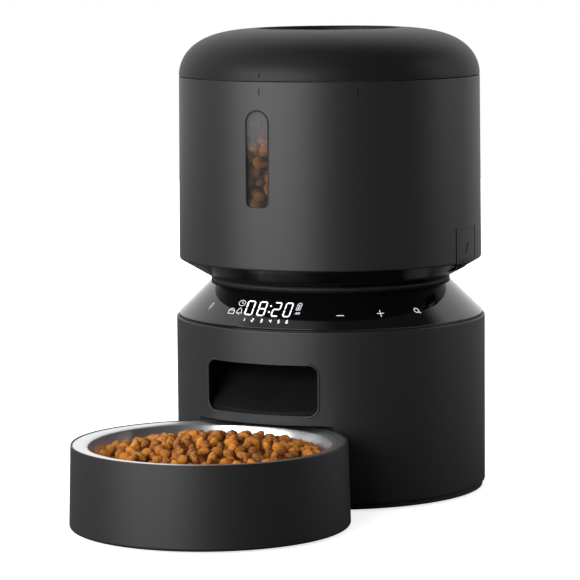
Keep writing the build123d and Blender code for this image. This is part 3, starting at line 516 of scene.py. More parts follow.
# Plinth: the black bottom cover that shows as a thin dark band under the drum.
# It carries the rubber feet, the cover screws, the battery door and the speaker grille.
body_of_node = {}
for body_name, members in frame["record"]["behaviour"]["bodies"].items():
    for member in members:
        body_of_node[member] = body_name


def skin(node, name, material, slot, angle=32, reshape=None):
    """Smoothly shaded copy of a solid that takes its place, reshaped point by point where asked."""
    build = bmesh.new()
    build.from_mesh(frame["nodes"][node].data)
    bmesh.ops.remove_doubles(build, verts=build.verts, dist=WELD_REACH)
    if reshape:
        for point in build.verts:
            reshape(point.co)
    piece = new_piece(name, build)
    finish_piece(piece, material, body_of_node[node], slot, node, angle=angle)


inner_black = satin_plastic("matt_black_plastic", (0.009, 0.009, 0.0095, 1), 0.55, 1.1 * MM)
foot_rubber = satin_plastic("foot_rubber", (0.014, 0.014, 0.014, 1), 0.75, 1.6 * MM)
skin("bottom_cover", "plinth", inner_black, "inner_black")
skin("battery_door", "battery_hatch", inner_black, "inner_black")
skin("base_feet", "base_rubber_feet", foot_rubber, "rubber")


# Control ring: the sloped gloss ring over the drum, moulded in piano black.
# The display and the marks of the touch keys shine on it.
CONE_TOP_R = 74.0 * MM
CONE_WALL = 5.0 * MM
CONE_FOOT_EDGE = 0.5 * MM
CONE_TOP_EDGE = 0.4 * MM
JOINT_INSET = 2.4 * MM
JOINT_H = 1.2 * MM
FINE_GRAIN = 0.002 * MM
PIANO = (0.002, 0.002, 0.0023, 1)
ring_low, ring_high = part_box("control_ring")
cone_r = (ring_high.x - ring_low.x) / 2
cone_z = ring_low.z + JOINT_H
cone_top = ring_high.z
joint_r = base_r - JOINT_INSET
ring_outline = [
    (joint_r - CONE_WALL / 2, ring_low.z, 0),
    (joint_r, ring_low.z, 0),
    (joint_r, cone_z, 0),
    (cone_r, cone_z, CONE_FOOT_EDGE),
    (CONE_TOP_R, cone_top, CONE_TOP_EDGE),
    (CONE_TOP_R - CONE_WALL, cone_top, 0),
    (cone_r - CONE_WALL, cone_z, 0),
]
gloss_ring = lathe("gloss_ring", rounded(ring_outline), tower)
piano_black = grained("piano_black", PIANO, 0.03, 14 * MM, FINE_GRAIN, 0.1, {"Specular IOR Level": 0.5})
finish_piece(gloss_ring, piano_black, "base", "gloss_black", "control_ring")


# Display and touch marks: a clock reading, six meal numbers, small signs and four touch keys.
# They are thin lit strokes that lie on the sloped ring. The lit panel is flat behind the round ring,
# so its marks spread on the side that turns away.
MARK_LIFT = 0.1 * MM
MARK_T = 0.08 * MM
PANEL_SPREAD = 111 * MM
PANEL_LIGHT = (0.93, 0.96, 1.0, 1)
DISPLAY_ANGLE = 1.4
DISPLAY_Z = 118.6 * MM
SLANT = -0.05
SEGMENT_GAP = 0.24
LINE_LAP = 0.35
DIGIT_LEFT = -14.0 * MM
DIGIT_LOW = -5.2 * MM
DIGIT_W = 4.5 * MM
DIGIT_H = 10.1 * MM
DIGIT_PITCH = 7.9 * MM
SEGMENT_W = 0.82 * MM
COLON_PITCH = 1.7 * MM
COLON_DOTS = ((1.15 * MM, -2.35 * MM), (0.95 * MM, 2.2 * MM))
DOT_HALF = 0.75 * MM
DOT_LINE = 1.2 * MM
MEAL_LEFT = -13.7 * MM
MEAL_LOW = -10.2 * MM
MEAL_W = 1.2 * MM
MEAL_H = 2.2 * MM
MEAL_PITCH = 5.83 * MM
MEAL_LINE = 0.42 * MM
SIGN_LINE = 0.34 * MM
KEY_LINE = 0.44 * MM
CLOCK_AT = (-18.3, 2.9)
BELL_AT = (-18.0, -3.1)
LOCK_AT = (-23.0, -3.4)
CELL_AT = (20.4, 2.5)
HALF_DAY_AT = (19.4, -3.4)
MINUS_AT = (31.4, 115.7 * MM)
PLUS_AT = (47.7, 116.2 * MM)
FEED_AT = (64.4, 116.2 * MM)
VOICE_AT = (-30.1, 117.0 * MM)
SEGMENT_ENDS = {
    "a": ((0, 1), (1, 1)),
    "b": ((1, 1), (1, 0.5)),
    "c": ((1, 0.5), (1, 0)),
    "d": ((0, 0), (1, 0)),
    "e": ((0, 0.5), (0, 0)),
    "f": ((0, 1), (0, 0.5)),
    "g": ((0, 0.5), (1, 0.5)),
}
SEGMENTS = {
    "0": "abcdef",
    "1": "bc",
    "2": "abged",
    "3": "abgcd",
    "4": "fgbc",
    "5": "afgcd",
    "6": "afgedc",
    "8": "abcdefg",
}


def ring_spot(angle, height, across, up):
    """Point on the sloped ring, across and up the slope from a spot at an angle and height."""
    slope = math.atan2(cone_top - cone_z, cone_r - CONE_TOP_R)
    z = height + up * math.sin(slope)
    r = cone_r - (z - cone_z) / math.tan(slope)
    turn = math.radians(angle) + math.asin((across - across**2 / (2 * PANEL_SPREAD)) / r)
    r += MARK_LIFT * math.sin(slope)
    z += MARK_LIFT * math.cos(slope)
    return Vector((tower.x + r * math.sin(turn), tower.y - r * math.cos(turn), z))


def stroke(start, end, width):
    """Pointed bar between two flat points, as one lit segment."""
    start, end = Vector(start), Vector(end)
    along = (end - start).normalized()
    side = Vector((-along.y, along.x)) * width / 2
    tip = along * width / 2
    return [start, start + tip + side, end - tip + side, end, end - tip - side, start + tip - side]


def segment_digit(digit, left, low, width, height, line):
    """Lit segments of one slanted digit, as flat polygons."""
    shapes = []
    for letter in SEGMENTS[digit]:
        first, last = [Vector((x * width, y * height)) for x, y in SEGMENT_ENDS[letter]]
        along = (last - first).normalized() * SEGMENT_GAP * line
        shapes.append(stroke(first + along, last - along, line))
    return [[Vector((left + p.x + SLANT * p.y, low + p.y)) for p in shape] for shape in shapes]


def drawn(points, place, width=SIGN_LINE, closed=False):
    """Bars that draw a line through flat points, given in millimetres from a place on the panel."""
    spots = [Vector(((place[0] + x) * MM, (place[1] + y) * MM)) for x, y in points]
    if closed:
        spots.append(spots[0])
    shapes = []
    for first, second in zip(spots, spots[1:]):
        lap = (second - first).normalized() * width * LINE_LAP
        shapes.append(stroke(first - lap, second + lap, width))
    return shapes


def lay_marks(name, shapes, material, angle=DISPLAY_ANGLE, height=DISPLAY_Z):
    """Thin closed plates on the sloped ring from flat polygons."""
    build = bmesh.new()
    for shape in shapes:
        build.faces.new([build.verts.new(ring_spot(angle, height, p[0], p[1])) for p in shape])
    bmesh.ops.triangulate(build, faces=build.faces)
    piece = new_piece(name, build)
    thickness = piece.modifiers.new("thickness", "SOLIDIFY")
    thickness.thickness = MARK_T
    thickness.offset = -1
    bake(piece)
    finish_piece(piece, material, "base", "board", angle=None)


def lit_ink(name, colour, light, strength, roughness=0.4, size=2 * MM, spread=0.03):
    """Ink that is lit from behind."""
    glow = {"Emission Color": light, "Emission Strength": strength}
    return grained(name, colour, roughness, size, FINE_GRAIN, spread, glow)


lit_white = lit_ink("lit_white", (0.8, 0.82, 0.85, 1), PANEL_LIGHT, 0.95)
lit_soft = lit_ink("lit_soft", (0.5, 0.51, 0.53, 1), PANEL_LIGHT, 0.42)
printed_grey = lit_ink("printed_grey", (0.35, 0.35, 0.35, 1), (0.8, 0.8, 0.8, 1), 0.3, 0.5, 1 * MM, 0.1)

clock_shapes = []
for place, digit in enumerate("0820"):
    left = DIGIT_LEFT + place * DIGIT_PITCH + (COLON_PITCH if place > 1 else 0)
    clock_shapes += segment_digit(digit, left, DIGIT_LOW, DIGIT_W, DIGIT_H, SEGMENT_W)
for dot_x, dot_y in COLON_DOTS:
    clock_shapes.append(stroke((dot_x - DOT_HALF, dot_y), (dot_x + DOT_HALF, dot_y), DOT_LINE))
lay_marks("clock_digits", clock_shapes, lit_white)

meal_shapes = []
for place, digit in enumerate("123456"):
    left = MEAL_LEFT + place * MEAL_PITCH
    meal_shapes += segment_digit(digit, left, MEAL_LOW, MEAL_W, MEAL_H, MEAL_LINE)
lay_marks("meal_numbers", meal_shapes, lit_white)

sign_shapes = drawn(arc(0, 0, 2.1, 0, 345, 16), CLOCK_AT, closed=True)
sign_shapes += drawn([(0, 1.4), (0, 0), (1.1, 0)], CLOCK_AT)
bell = [(-1.7, -1.5), (1.7, -1.5), (1.2, 0.4), (0.9, 1.6), (0, 2.2), (-0.9, 1.6), (-1.2, 0.4)]
sign_shapes += drawn(bell, BELL_AT, closed=True)
sign_shapes += drawn([(-0.6, -2.3), (0.6, -2.3)], BELL_AT)
lock = [(-1.8, -2.2), (1.8, -2.2), (1.8, 0.4), (-1.8, 0.4)]
sign_shapes += drawn(lock, LOCK_AT, closed=True)
sign_shapes += drawn(arc(0, 0.4, 1.4, 0, 180, 8), LOCK_AT)
cell = [(-1.5, -2.6), (1.5, -2.6), (1.5, 2), (0.7, 2), (0.7, 2.6), (-0.7, 2.6), (-0.7, 2), (-1.5, 2)]
sign_shapes += drawn(cell, CELL_AT, closed=True)
for bar in (-1.5, -0.3, 0.9):
    sign_shapes += drawn([(-0.7, bar), (0.7, bar)], CELL_AT, 0.6 * MM)
sign_shapes += drawn([(0, 0), (0.7, 1.6), (1.3, 0)], HALF_DAY_AT)
sign_shapes += drawn([(1.8, 0), (1.9, 1.6), (2.5, 0.6), (3.1, 1.6), (3.2, 0)], HALF_DAY_AT)
lay_marks("display_signs", sign_shapes, lit_soft)

minus = [stroke((-2.3 * MM, 0), (2.3 * MM, 0), KEY_LINE)]
plus = minus + [stroke((0, -2.5 * MM), (0, 2.5 * MM), KEY_LINE)]
feed = drawn(arc(-0.2, 0.3, 1.6, 0, 345, 14), (0, 0), 0.6 * MM, closed=True)
feed += drawn([(0.7, -0.9), (2.0, -1.8)], (0, 0), 0.7 * MM)
microphone = [(-0.9, -0.7), (-0.9, 1.7), (0, 2.5), (0.9, 1.7), (0.9, -0.7), (0, -1.4)]
voice = drawn(microphone, (0, 0), KEY_LINE, closed=True)
voice += drawn([(0, -1.4), (0, -2.9)], (0, 0), KEY_LINE)
lay_marks("key_minus", minus, lit_soft, *MINUS_AT)
lay_marks("key_plus", plus, lit_soft, *PLUS_AT)
lay_marks("key_feed", feed, lit_soft, *FEED_AT)
lay_marks("key_voice", voice, printed_grey, *VOICE_AT)


# Neck and deck: the black plate that closes the base and carries the hopper.
# Under it hang the drop duct, the gear case and the motor.
skin("deck", "neck_deck", inner_black, "inner_black")


# Food chute: the dark sloped trough behind the outlet, with a light gate on each side.
# It is clipped behind the drum wall, and its floor twists down to the outlet's edge.
CHUTE_SLOPE = 0.7


def level_chute_lip(point):
    """Bring the front edge of the trough's floor down to the bottom edge of the outlet."""
    away = Vector((point.x - tower.x, point.y - tower.y))
    if away.length > base_r - 2 * WALL and point.z < outlet_middle:
        point.z -= CHUTE_SLOPE * (away.length + away.y)


# Black plastic painted darker than the other black parts: painted shade in the trough behind the outlet.
chute_black_painted_shade = satin_plastic("chute_black_painted_shade", (0.0035, 0.0035, 0.0037, 1), 0.6, 1.3 * MM, 0.08)
skin("food_chute", "outlet_chute", chute_black_painted_shade, "inner_black", reshape=level_chute_lip)
skin("drop_sensors", "light_gates", inner_black, "inner_black")


# Drive: gear motor, pinion, drive gear and case under the deck.
# The gears are white acetal, the motor can is steel with faint mottling and the case is black.
STEEL_GREY = (0.55, 0.55, 0.56, 1)
acetal = satin_plastic("white_acetal", (0.72, 0.71, 0.68, 1), 0.42, 1.5 * MM)
can_steel = grained("can_steel", STEEL_GREY, 0.34, 3 * MM, 0.01 * MM, 0.08, {"Metallic": 1.0})
skin("gear_case", "gear_housing", inner_black, "inner_black")
skin("gear_motor", "motor_can", can_steel, "steel")
skin("drive_gear", "drive_wheel", acetal, "white_plastic", 20)
skin("drive_pinion", "motor_pinion", acetal, "white_plastic", 20)


# Electronics and power: boards, speaker, socket, screws and the back-up cells.
# The socket shows at the back and the screws from below. The rest is closed in by the base.
board_green = satin_plastic("board_green", (0.015, 0.1, 0.04, 1), 0.4, 2 * MM)
cell_sleeve = satin_plastic("cell_sleeve", (0.16, 0.16, 0.19, 1), 0.35, 3 * MM)
skin("main_board", "control_board", board_green, "board")
skin("display_module", "display_board", board_green, "board")
skin("touch_board", "touch_strip", board_green, "board")
skin("base_screws", "cover_screws", can_steel, "steel")
skin("battery_contacts", "cell_contacts", can_steel, "steel")
skin("power_inlet", "power_socket", can_steel, "steel")
skin("battery_cells", "backup_cells", cell_sleeve, "cell_wrap")
skin("battery_tray", "cell_tubes", inner_black, "inner_black")
skin("speaker", "speaker_cone", inner_black, "inner_black")


# Hopper underside: the black gloss cone between neck and drum, with the drop hole in its floor.
# It closes the hopper wall from below.
UNDERSIDE = (0.004, 0.004, 0.0044, 1)
UNDERSIDE_SHINE = {"Specular IOR Level": 0.2}
under_gloss = grained("underside_gloss", UNDERSIDE, 0.24, 9 * MM, FINE_GRAIN, 0.1, UNDERSIDE_SHINE)
skin("hopper_base", "hopper_underside", under_gloss, "gloss_black", 24)


# Hopper wall: the upper drum in the same satin charcoal, a little wider at the bottom.
# The level window is let into its front, and a tongue for the thumb is slit into each side.
HOPPER_R_LOW = 92.8 * MM
HOPPER_R_HIGH = 92.0 * MM
HOPPER_WALL = 2.4 * MM
HOPPER_FOOT_EDGE = 1.6 * MM
HOPPER_TOP_EDGE = 0.6 * MM
HOPPER_MOUTH_EDGE = 0.3 * MM
WINDOW_W = 15.0 * MM
WINDOW_SQUARE = 3.5 * MM
WINDOW_GAP = 0.15 * MM
WINDOW_EDGE = 0.3 * MM
EDGE_ANGLE = math.radians(40)
TAB_W = 24.6 * MM
TAB_SLIT = 1.2 * MM
TAB_SEAM = 0.1 * MM
SLIT_RISE = 1.3 * MM
hopper_low, hopper_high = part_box("hopper_shell")
pane_low, pane_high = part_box("hopper_window")
window_z = pane_low.z
hopper_outline = [
    (HOPPER_R_LOW - HOPPER_WALL, hopper_low.z, 0),
    (HOPPER_R_LOW, hopper_low.z, HOPPER_FOOT_EDGE),
    (HOPPER_R_HIGH, hopper_high.z, HOPPER_TOP_EDGE),
    (HOPPER_R_HIGH - HOPPER_WALL, hopper_high.z, HOPPER_MOUTH_EDGE),
]
hopper_drum = lathe("hopper_drum", rounded(hopper_outline), tower)


def soften(piece, width):
    """Round the sharp edges that cuts have left."""
    weld(piece, CUT_SLACK)
    edge = piece.modifiers.new("edge", "BEVEL")
    edge.width = width
    edge.segments = 2
    edge.limit_method = "ANGLE"
    edge.angle_limit = EDGE_ANGLE
    edge.use_clamp_overlap = True
    bake(piece)


tab_tools = []
for tab_node, tab_angle in (("release_tab_right", 90), ("release_tab_left", -90)):
    tab_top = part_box(tab_node)[1].z
    for left, right, rise in (
        (-TAB_W / 2, TAB_W / 2, TAB_SEAM),
        (-TAB_W / 2 - TAB_SLIT, -TAB_W / 2, SLIT_RISE),
        (TAB_W / 2, TAB_W / 2 + TAB_SLIT, SLIT_RISE),
    ):
        low, high = hopper_low.z - WALL, tab_top + rise
        tab_slot = [(left, low), (right, low), (right, high), (left, high)]
        tab_tools.append(wall_tool(tab_node + "_tool", tab_slot, tab_angle))
window_half = WINDOW_W / 2
window_corner = window_half - WINDOW_SQUARE
window_path = arc(0, pane_high.z + WINDOW_GAP - window_half, window_half, 0, 180, 16)
for side, first in ((-1, 180), (1, 270)):
    corner_z = window_z - WINDOW_GAP + WINDOW_SQUARE
    window_path += arc(side * window_corner, corner_z, WINDOW_SQUARE, first, first + 90, 5)
cut(hopper_drum, wall_tool("window_tool", window_path, 0))
soften(hopper_drum, WINDOW_EDGE)
cut(hopper_drum, *tab_tools)
finish_piece(hopper_drum, charcoal, "hopper", "satin_black", "hopper_shell")


# Release tabs: tongues in the hopper wall, charcoal with a black nose below the wall.
# The nose slants up to the outside and to the back.
NOSE_RISE = 3.4 * MM
NOSE_BACK_RISE = 1.6 * MM
NOSE_BELOW = 1.0 * MM
NOSE_BLACK = (0.004, 0.004, 0.004, 1)
NOSE_EDGE = 0.1 * MM


def slant_nose(point):
    """Lift the outer and the back corners of the nose below the wall."""
    if point.z < hopper_low.z - NOSE_BELOW:
        if abs(point.x - tower.x) > HOPPER_R_LOW - HOPPER_WALL:
            point.z += NOSE_RISE
        if point.y > tower.y:
            point.z += NOSE_BACK_RISE


def height_of(tree):
    """Output that tells how high each point lies."""
    return add_node(tree, "ShaderNodeSeparateXYZ", {"Vector": object_place(tree)}).outputs["Z"]


tab_plastic = satin_plastic("tab_charcoal", CHARCOAL)
tab_tree = tab_plastic.node_tree
tab_surface = tab_tree.nodes["Principled BSDF"]
tab_shade = tab_surface.inputs["Base Color"].links[0].from_socket
tab_above = number_math(tab_tree, "GREATER_THAN", height_of(tab_tree), hopper_low.z - NOSE_EDGE)
tab_shades = {"Factor": tab_above, "A": NOSE_BLACK, "B": tab_shade}
tab_colour = add_node(tab_tree, "ShaderNodeMix", tab_shades, data_type="RGBA").outputs["Result"]
set_sockets(tab_tree, tab_surface, {"Base Color": tab_colour})
skin("release_tab_right", "thumb_tab_right", tab_plastic, "satin_black", reshape=slant_nose)
skin("release_tab_left", "thumb_tab_left", tab_plastic, "satin_black", reshape=slant_nose)


# Level window: a clear curved pane flush with the wall, slightly smoked, in a thin gasket.
# The food behind it shows how full the hopper is; above the food the pane's colour is painted lighter, a
# painted reflection.
PANE_GREY = (0.155, 0.15, 0.15, 1)
PANE_CLEAR = {"Alpha": 0.3, "Specular IOR Level": 0.04}
PAINTED_REFLECTION_SPAN = (206.0 * MM, 226.0 * MM)
PAINTED_REFLECTION_LEAST = 0.2
GASKET_R = 0.45 * MM
pane_clear = grained("smoked_pane", PANE_GREY, 0.1, 5 * MM, FINE_GRAIN, 0.06, PANE_CLEAR)
pane_tree = pane_clear.node_tree
pane_shade = pane_tree.nodes["Principled BSDF"].inputs["Base Color"].links[0].from_node
pane_speck = pane_shade.inputs["Scale"].links[0].from_socket
# Painted reflection: the pane's colour is darker low down and grows lighter towards its top.
pane_painted_reflection = remap(pane_tree, height_of(pane_tree), PAINTED_REFLECTION_SPAN, (PAINTED_REFLECTION_LEAST, 1), "SMOOTHSTEP")
set_sockets(pane_tree, pane_shade, {"Scale": number_math(pane_tree, "MULTIPLY", pane_painted_reflection, pane_speck)})
skin("hopper_window", "level_pane", pane_clear, "clear")
gasket_wall = (HOPPER_R_HIGH + HOPPER_R_LOW) / 2
lip("pane_gasket", window_path, gasket_wall, GASKET_R, foot_rubber, "hopper", "rubber")


# Printed marks: short fine lines on the lid and the hopper that show how far the lid turns,
# and a slanted line on each release tab that shows where to press.
CLOSED_ANGLE = 1.1
OPEN_ANGLE = 38.1
LID_DASH = (255.2 * MM, 258.4 * MM, 91.85 * MM)
HOPPER_DASH = (245.7 * MM, 249.8 * MM, 92.05 * MM)
DASH_W = 0.5 * MM
DASH_CORNER = 0.2 * MM
DASH_PROUD = 0.06 * MM
MARK_SUNK = 0.3 * MM
PRESS_LOW = (-1.9 * MM, 148.0 * MM)
PRESS_HIGH = (1.9 * MM, 154.0 * MM)
PRESS_W = 1.1 * MM
PRESS_R = HOPPER_R_LOW - 0.05 * MM
PRESS_PROUD = 0.08 * MM
mark_dark = satin_plastic("mark_dark", (0.003, 0.003, 0.003, 1), 0.6, 1 * MM, 0.05)


def wall_mark(name, outline, angle, radius, proud, body):
    """Thin printed mark on the outside of the tower."""
    piece = prism(name, outline, radius - MARK_SUNK, radius + proud, angle)
    finish_piece(piece, mark_dark, body, "inner_black")


press_outline = []
for side, (x, z) in ((-1, PRESS_LOW), (1, PRESS_LOW), (1, PRESS_HIGH), (-1, PRESS_HIGH)):
    press_outline.append((x + side * PRESS_W / 2, z))
wall_mark("press_line_right", press_outline, 90, PRESS_R, PRESS_PROUD, "release_tab_right")
wall_mark("press_line_left", press_outline, -90, PRESS_R, PRESS_PROUD, "release_tab_left")
for dash_name, dash_angle, (low, high, dash_r), dash_body in (
    ("lid_dash", CLOSED_ANGLE, LID_DASH, "lid"),
    ("closed_dash", CLOSED_ANGLE, HOPPER_DASH, "hopper"),
    ("open_dash", OPEN_ANGLE, HOPPER_DASH, "hopper"),
):
    dash_outline = rounded_box(DASH_W, high - low, DASH_CORNER, (low + high) / 2, 3)
    wall_mark(dash_name, dash_outline, dash_angle, dash_r, DASH_PROUD, dash_body)


# Funnel, rotor and stirrer: the grey inner mouldings that meter the food.
# The funnel lies in the hopper, and the rotor turns in the pocket at its bottom.
inner_grey = satin_plastic("inner_grey_plastic", (0.13, 0.13, 0.13, 1), 0.45, 1.2 * MM)
skin("hopper_funnel", "food_funnel", inner_grey, "grey_plastic")
skin("portion_rotor", "metering_rotor", inner_grey, "grey_plastic")
skin("stirrer", "stirring_cap", inner_grey, "grey_plastic")


# Lid: a domed cap in satin charcoal with a round well and a grip bar across it.
# A liner with a skirt, a soft seal and a cup for drying beads sit under it.
LID_SKIN = 2.4 * MM
WELL_R = 42.0 * MM
WELL_FLARE = 2.5 * MM
WELL_DEPTH = 13.0 * MM
WELL_CORNER = 1.5 * MM
CROWN_EDGE = 1.0 * MM
DOME_POWER = 5
DOME_STEPS = 24
DOME_HOLLOW_FROM = 10
GRIP_W = 15.0 * MM
GRIP_DROP = 1.6 * MM
GRIP_EDGE = 2.2 * MM
GRIP_INSET = 3.2 * MM
GRIP_SUNK = 0.5 * MM
lid_low, lid_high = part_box("lid_shell")
lid_r = (lid_high.x - lid_low.x) / 2
crown_r = WELL_R + WELL_FLARE
dome_r = crown_r + CROWN_EDGE
dome_h = (lid_high.z - lid_low.z) / math.sqrt(1 - (crown_r / lid_r) ** DOME_POWER)
dome_outside = []
for step in range(DOME_STEPS + 1):
    r = dome_r + (lid_r - dome_r) * math.sin(math.pi / 2 * step / DOME_STEPS)
    z = lid_low.z + dome_h * math.sqrt(max(0.0, 1 - (r / lid_r) ** DOME_POWER))
    dome_outside.append((r, z))
well_floor = lid_high.z - WELL_DEPTH
well_rim = [
    (WELL_R - WELL_CORNER, well_floor),
    (WELL_R, well_floor + WELL_CORNER),
    (crown_r - 0.25 * MM, lid_high.z - 1.1 * MM),
    (crown_r, lid_high.z - 0.4 * MM),
    (crown_r + 0.4 * MM, lid_high.z - 0.1 * MM),
]
lid_inside = [(r - LID_SKIN, z - 0.35 * LID_SKIN) for r, z in reversed(dome_outside[DOME_HOLLOW_FROM:])]
lid_inside[0] = (lid_r - LID_SKIN, lid_low.z)
well_below = [
    (crown_r + LID_SKIN, lid_high.z - 1.8 * LID_SKIN),
    (WELL_R + LID_SKIN, well_floor - LID_SKIN),
    (0, well_floor - LID_SKIN),
]
lid_dome = lathe("lid_dome", [(0, well_floor)] + well_rim + dome_outside + lid_inside + well_below, tower)
lid_charcoal = satin_plastic("lid_charcoal", (0.0065, 0.0065, 0.007, 1), 0.46, 0.7 * MM, 0.15)
finish_piece(lid_dome, lid_charcoal, "lid", "satin_black", "lid_shell", angle=38)

grip_low = well_floor - GRIP_SUNK
grip_outline = [(-GRIP_W / 2, grip_low), (GRIP_W / 2, grip_low)]
for side, first in ((1, 0), (-1, 90)):
    edge_z = lid_high.z - GRIP_DROP - GRIP_EDGE
    grip_outline += arc(side * (GRIP_W / 2 - GRIP_INSET), edge_z, GRIP_EDGE, first, first + 90, 8)
lid_grip = prism("lid_grip", grip_outline, -WELL_R - GRIP_SUNK, WELL_R + GRIP_SUNK, 90)
finish_piece(lid_grip, lid_charcoal, "lid", "satin_black")

seal_rubber = satin_plastic("seal_rubber", (0.3, 0.3, 0.3, 1), 0.6, 1.5 * MM)
skin("lid_liner", "lid_inner_plate", inner_grey, "grey_plastic")
skin("lid_seal", "lid_soft_seal", seal_rubber, "rubber")
skin("desiccant_holder", "drying_cup", acetal, "white_plastic")


# Bowl holder: a round cup in the same satin charcoal, wider at its foot, with a lip round the bowl.
# Two tongues at its back slide into the base.
HOLDER_DRAFT = 1.4 * MM
HOLDER_WALL = 2.4 * MM
HOLDER_LIP = 1.0 * MM
TONGUE_W = 12.0 * MM
TONGUE_SPREAD = 44.0 * MM
TONGUE_Z = 14.0 * MM
TONGUE_H = 5.0 * MM
TONGUE_CORNER = 0.8 * MM
TONGUE_SUNK = 2.0 * MM
holder_r = holder_high.x
holder_top_r = holder_r - HOLDER_DRAFT
holder_floor = holder_low.z + HOLDER_WALL
holder_outline = [
    (0, holder_low.z, 0),
    (holder_r, holder_low.z, 1.8 * MM),
    (holder_top_r, bowl_high.z, 0.4 * MM),
    (holder_top_r - HOLDER_LIP, bowl_high.z, 0.2 * MM),
    (holder_top_r - HOLDER_LIP, holder_high.z, 0),
    (holder_top_r - HOLDER_WALL, holder_high.z, 0.3 * MM),
    (holder_r - HOLDER_WALL, holder_floor, 1.0 * MM),
    (0, holder_floor, 0),
]
holder_cup = lathe("holder_cup", rounded(holder_outline), bowl)
finish_piece(holder_cup, charcoal, "bowl", "satin_black", "bowl_holder")
tongue_edge = (TONGUE_SPREAD + TONGUE_W) / 2
tongue_root = bowl.y + math.sqrt(holder_r**2 - tongue_edge**2) - TONGUE_SUNK
for side, tongue_name in ((-1, "holder_tongue_left"), (1, "holder_tongue_right")):
    tongue_outline = rounded_box(TONGUE_W, TONGUE_H, TONGUE_CORNER, TONGUE_Z)
    tongue_outline = [(x + side * TONGUE_SPREAD / 2, z) for x, z in tongue_outline]
    tongue = prism(tongue_name, tongue_outline, tower.y - holder_high.y, tower.y - tongue_root, 0)
    finish_piece(tongue, charcoal, "bowl", "satin_black")
skin("holder_feet", "holder_rubber_feet", foot_rubber, "rubber")


# Steel bowl: spun stainless steel with a broad flange that slopes inward from the holder's lip.
# Spinning leaves fine rings round its axis.
RIM_T = 1.0 * MM
RIM_GAP = 0.1 * MM
FLANGE = 8.9 * MM
FLANGE_SLOPE = 0.08
BOWL_WALL = 0.9 * MM
BOWL_STEPS = 20
BOWL_UNDER_FROM = 6
FLOOR_R = 48.0 * MM
FLARE = 0.45
STEEL = (0.74, 0.74, 0.75, 1)
STEEL_ROUGH = (0.24, 0.4)
SPIN_FLAT = (1, 1, 0.6)
SPIN_SCALE = 2600
SPIN_DETAIL = 4.0
SPIN_STRENGTH = 0.12
SPIN_DEPTH = 0.02 * MM
rim_r = holder_top_r - HOLDER_LIP - RIM_GAP
rim_z = bowl_high.z
floor_z = bowl_low.z + BOWL_WALL
throat_r = rim_r - FLANGE
throat_z = rim_z - 2 * RIM_T
bowl_inside = []
for step in range(BOWL_STEPS + 1):
    turn = math.pi / 2 * step / BOWL_STEPS
    spread = (1 - FLARE) * math.sin(turn) + FLARE * (1 - math.cos(turn))
    rise = 1 - math.cos(turn)
    bowl_inside.append((FLOOR_R + (throat_r - FLOOR_R) * spread, floor_z + (throat_z - floor_z) * rise))
bowl_flange = [
    (throat_r + 0.5 * MM, rim_z - 0.9 * MM),
    (throat_r + 1.6 * MM, rim_z - 0.3 * MM),
    (throat_r + 3.2 * MM, rim_z),
    (throat_r + 3.6 * MM, rim_z),
    (rim_r - 2.0 * MM, rim_z),
    (rim_r - 1.6 * MM, rim_z - 0.05 * MM),
    (rim_r - 0.5 * MM, rim_z - 0.25 * MM),
    (rim_r, rim_z - 0.6 * MM),
    (rim_r, rim_z - RIM_T),
]
bowl_outline = [(0, floor_z)] + bowl_inside
bowl_outline += [(r, z - FLANGE_SLOPE * (rim_r - r)) for r, z in bowl_flange]
bowl_outline += [(rim_r - FLANGE / 2, rim_z - RIM_T), (throat_r + BOWL_WALL + 0.4 * MM, throat_z)]
bowl_outline += [(r + BOWL_WALL, z - 0.4 * BOWL_WALL) for r, z in reversed(bowl_inside[BOWL_UNDER_FROM:])]
bowl_outline += [(FLOOR_R + 2 * MM, floor_z - BOWL_WALL), (0, floor_z - BOWL_WALL)]
spun_bowl = lathe("spun_bowl", bowl_outline, bowl)
spun_steel, steel_tree, steel_surface = shader("spun_steel", STEEL, STEEL_ROUGH[0], {"Metallic": 1.0})
steel_place = {"Vector": object_place(steel_tree), "Location": (-bowl.x, -bowl.y, 0)}
steel_centre = add_node(steel_tree, "ShaderNodeMapping", steel_place, vector_type="POINT").outputs["Vector"]
steel_flat = vector_math(steel_tree, "MULTIPLY", {0: steel_centre, 1: SPIN_FLAT})["Vector"]
steel_out = vector_math(steel_tree, "LENGTH", {0: steel_flat})["Value"]
spin = {"W": steel_out, "Scale": SPIN_SCALE, "Detail": SPIN_DETAIL}
steel_rings = add_node(steel_tree, "ShaderNodeTexNoise", spin, noise_dimensions="1D").outputs["Fac"]
steel_finish = {
    "Roughness": remap(steel_tree, steel_rings, (0, 1), STEEL_ROUGH),
    "Normal": bump(steel_tree, SPIN_STRENGTH, SPIN_DEPTH, steel_rings),
}
set_sockets(steel_tree, steel_surface, steel_finish)
finish_piece(spun_bowl, spun_steel, "bowl", "steel", "steel_bowl", angle=50)


# Dry food: small baked pieces, heaped in the bowl and stored in the hopper.
# Each is a lumpy flattened ball; they are scattered in layers over a mound and behind the window.
KIBBLE_R = 3.6 * MM
KIBBLE_SPACING = 6.0 * MM
KIBBLE_DENSITY = 60000
KIBBLE_FLAT = (1.08, 0.92, 0.62)
KIBBLE_TILT = 1.2
KIBBLE_TURN = 6.28
KIBBLE_SIZES = (0.82, 1.16)
KIBBLE_TONES = (-0.55, 0.02)
KIBBLE_LIGHT = (0.68, 0.24, 0.016, 1)
KIBBLE_DARK_AND_PIT_SHADE = (0.09, 0.012, 0.0005, 1)
KIBBLE_ROUGH = 0.58
CRUST = {"Scale": 640, "Detail": 6.0, "Roughness": 0.68}
CRUST_AND_PIT_SHADE_CONTRAST = 1.7
CRUST_STRENGTH = 1.0
CRUST_DEPTH = 2.2 * MM
LUMPS = {"Scale": 300, "Detail": 2.0}
LUMP_DEPTH = 2.4 * MM
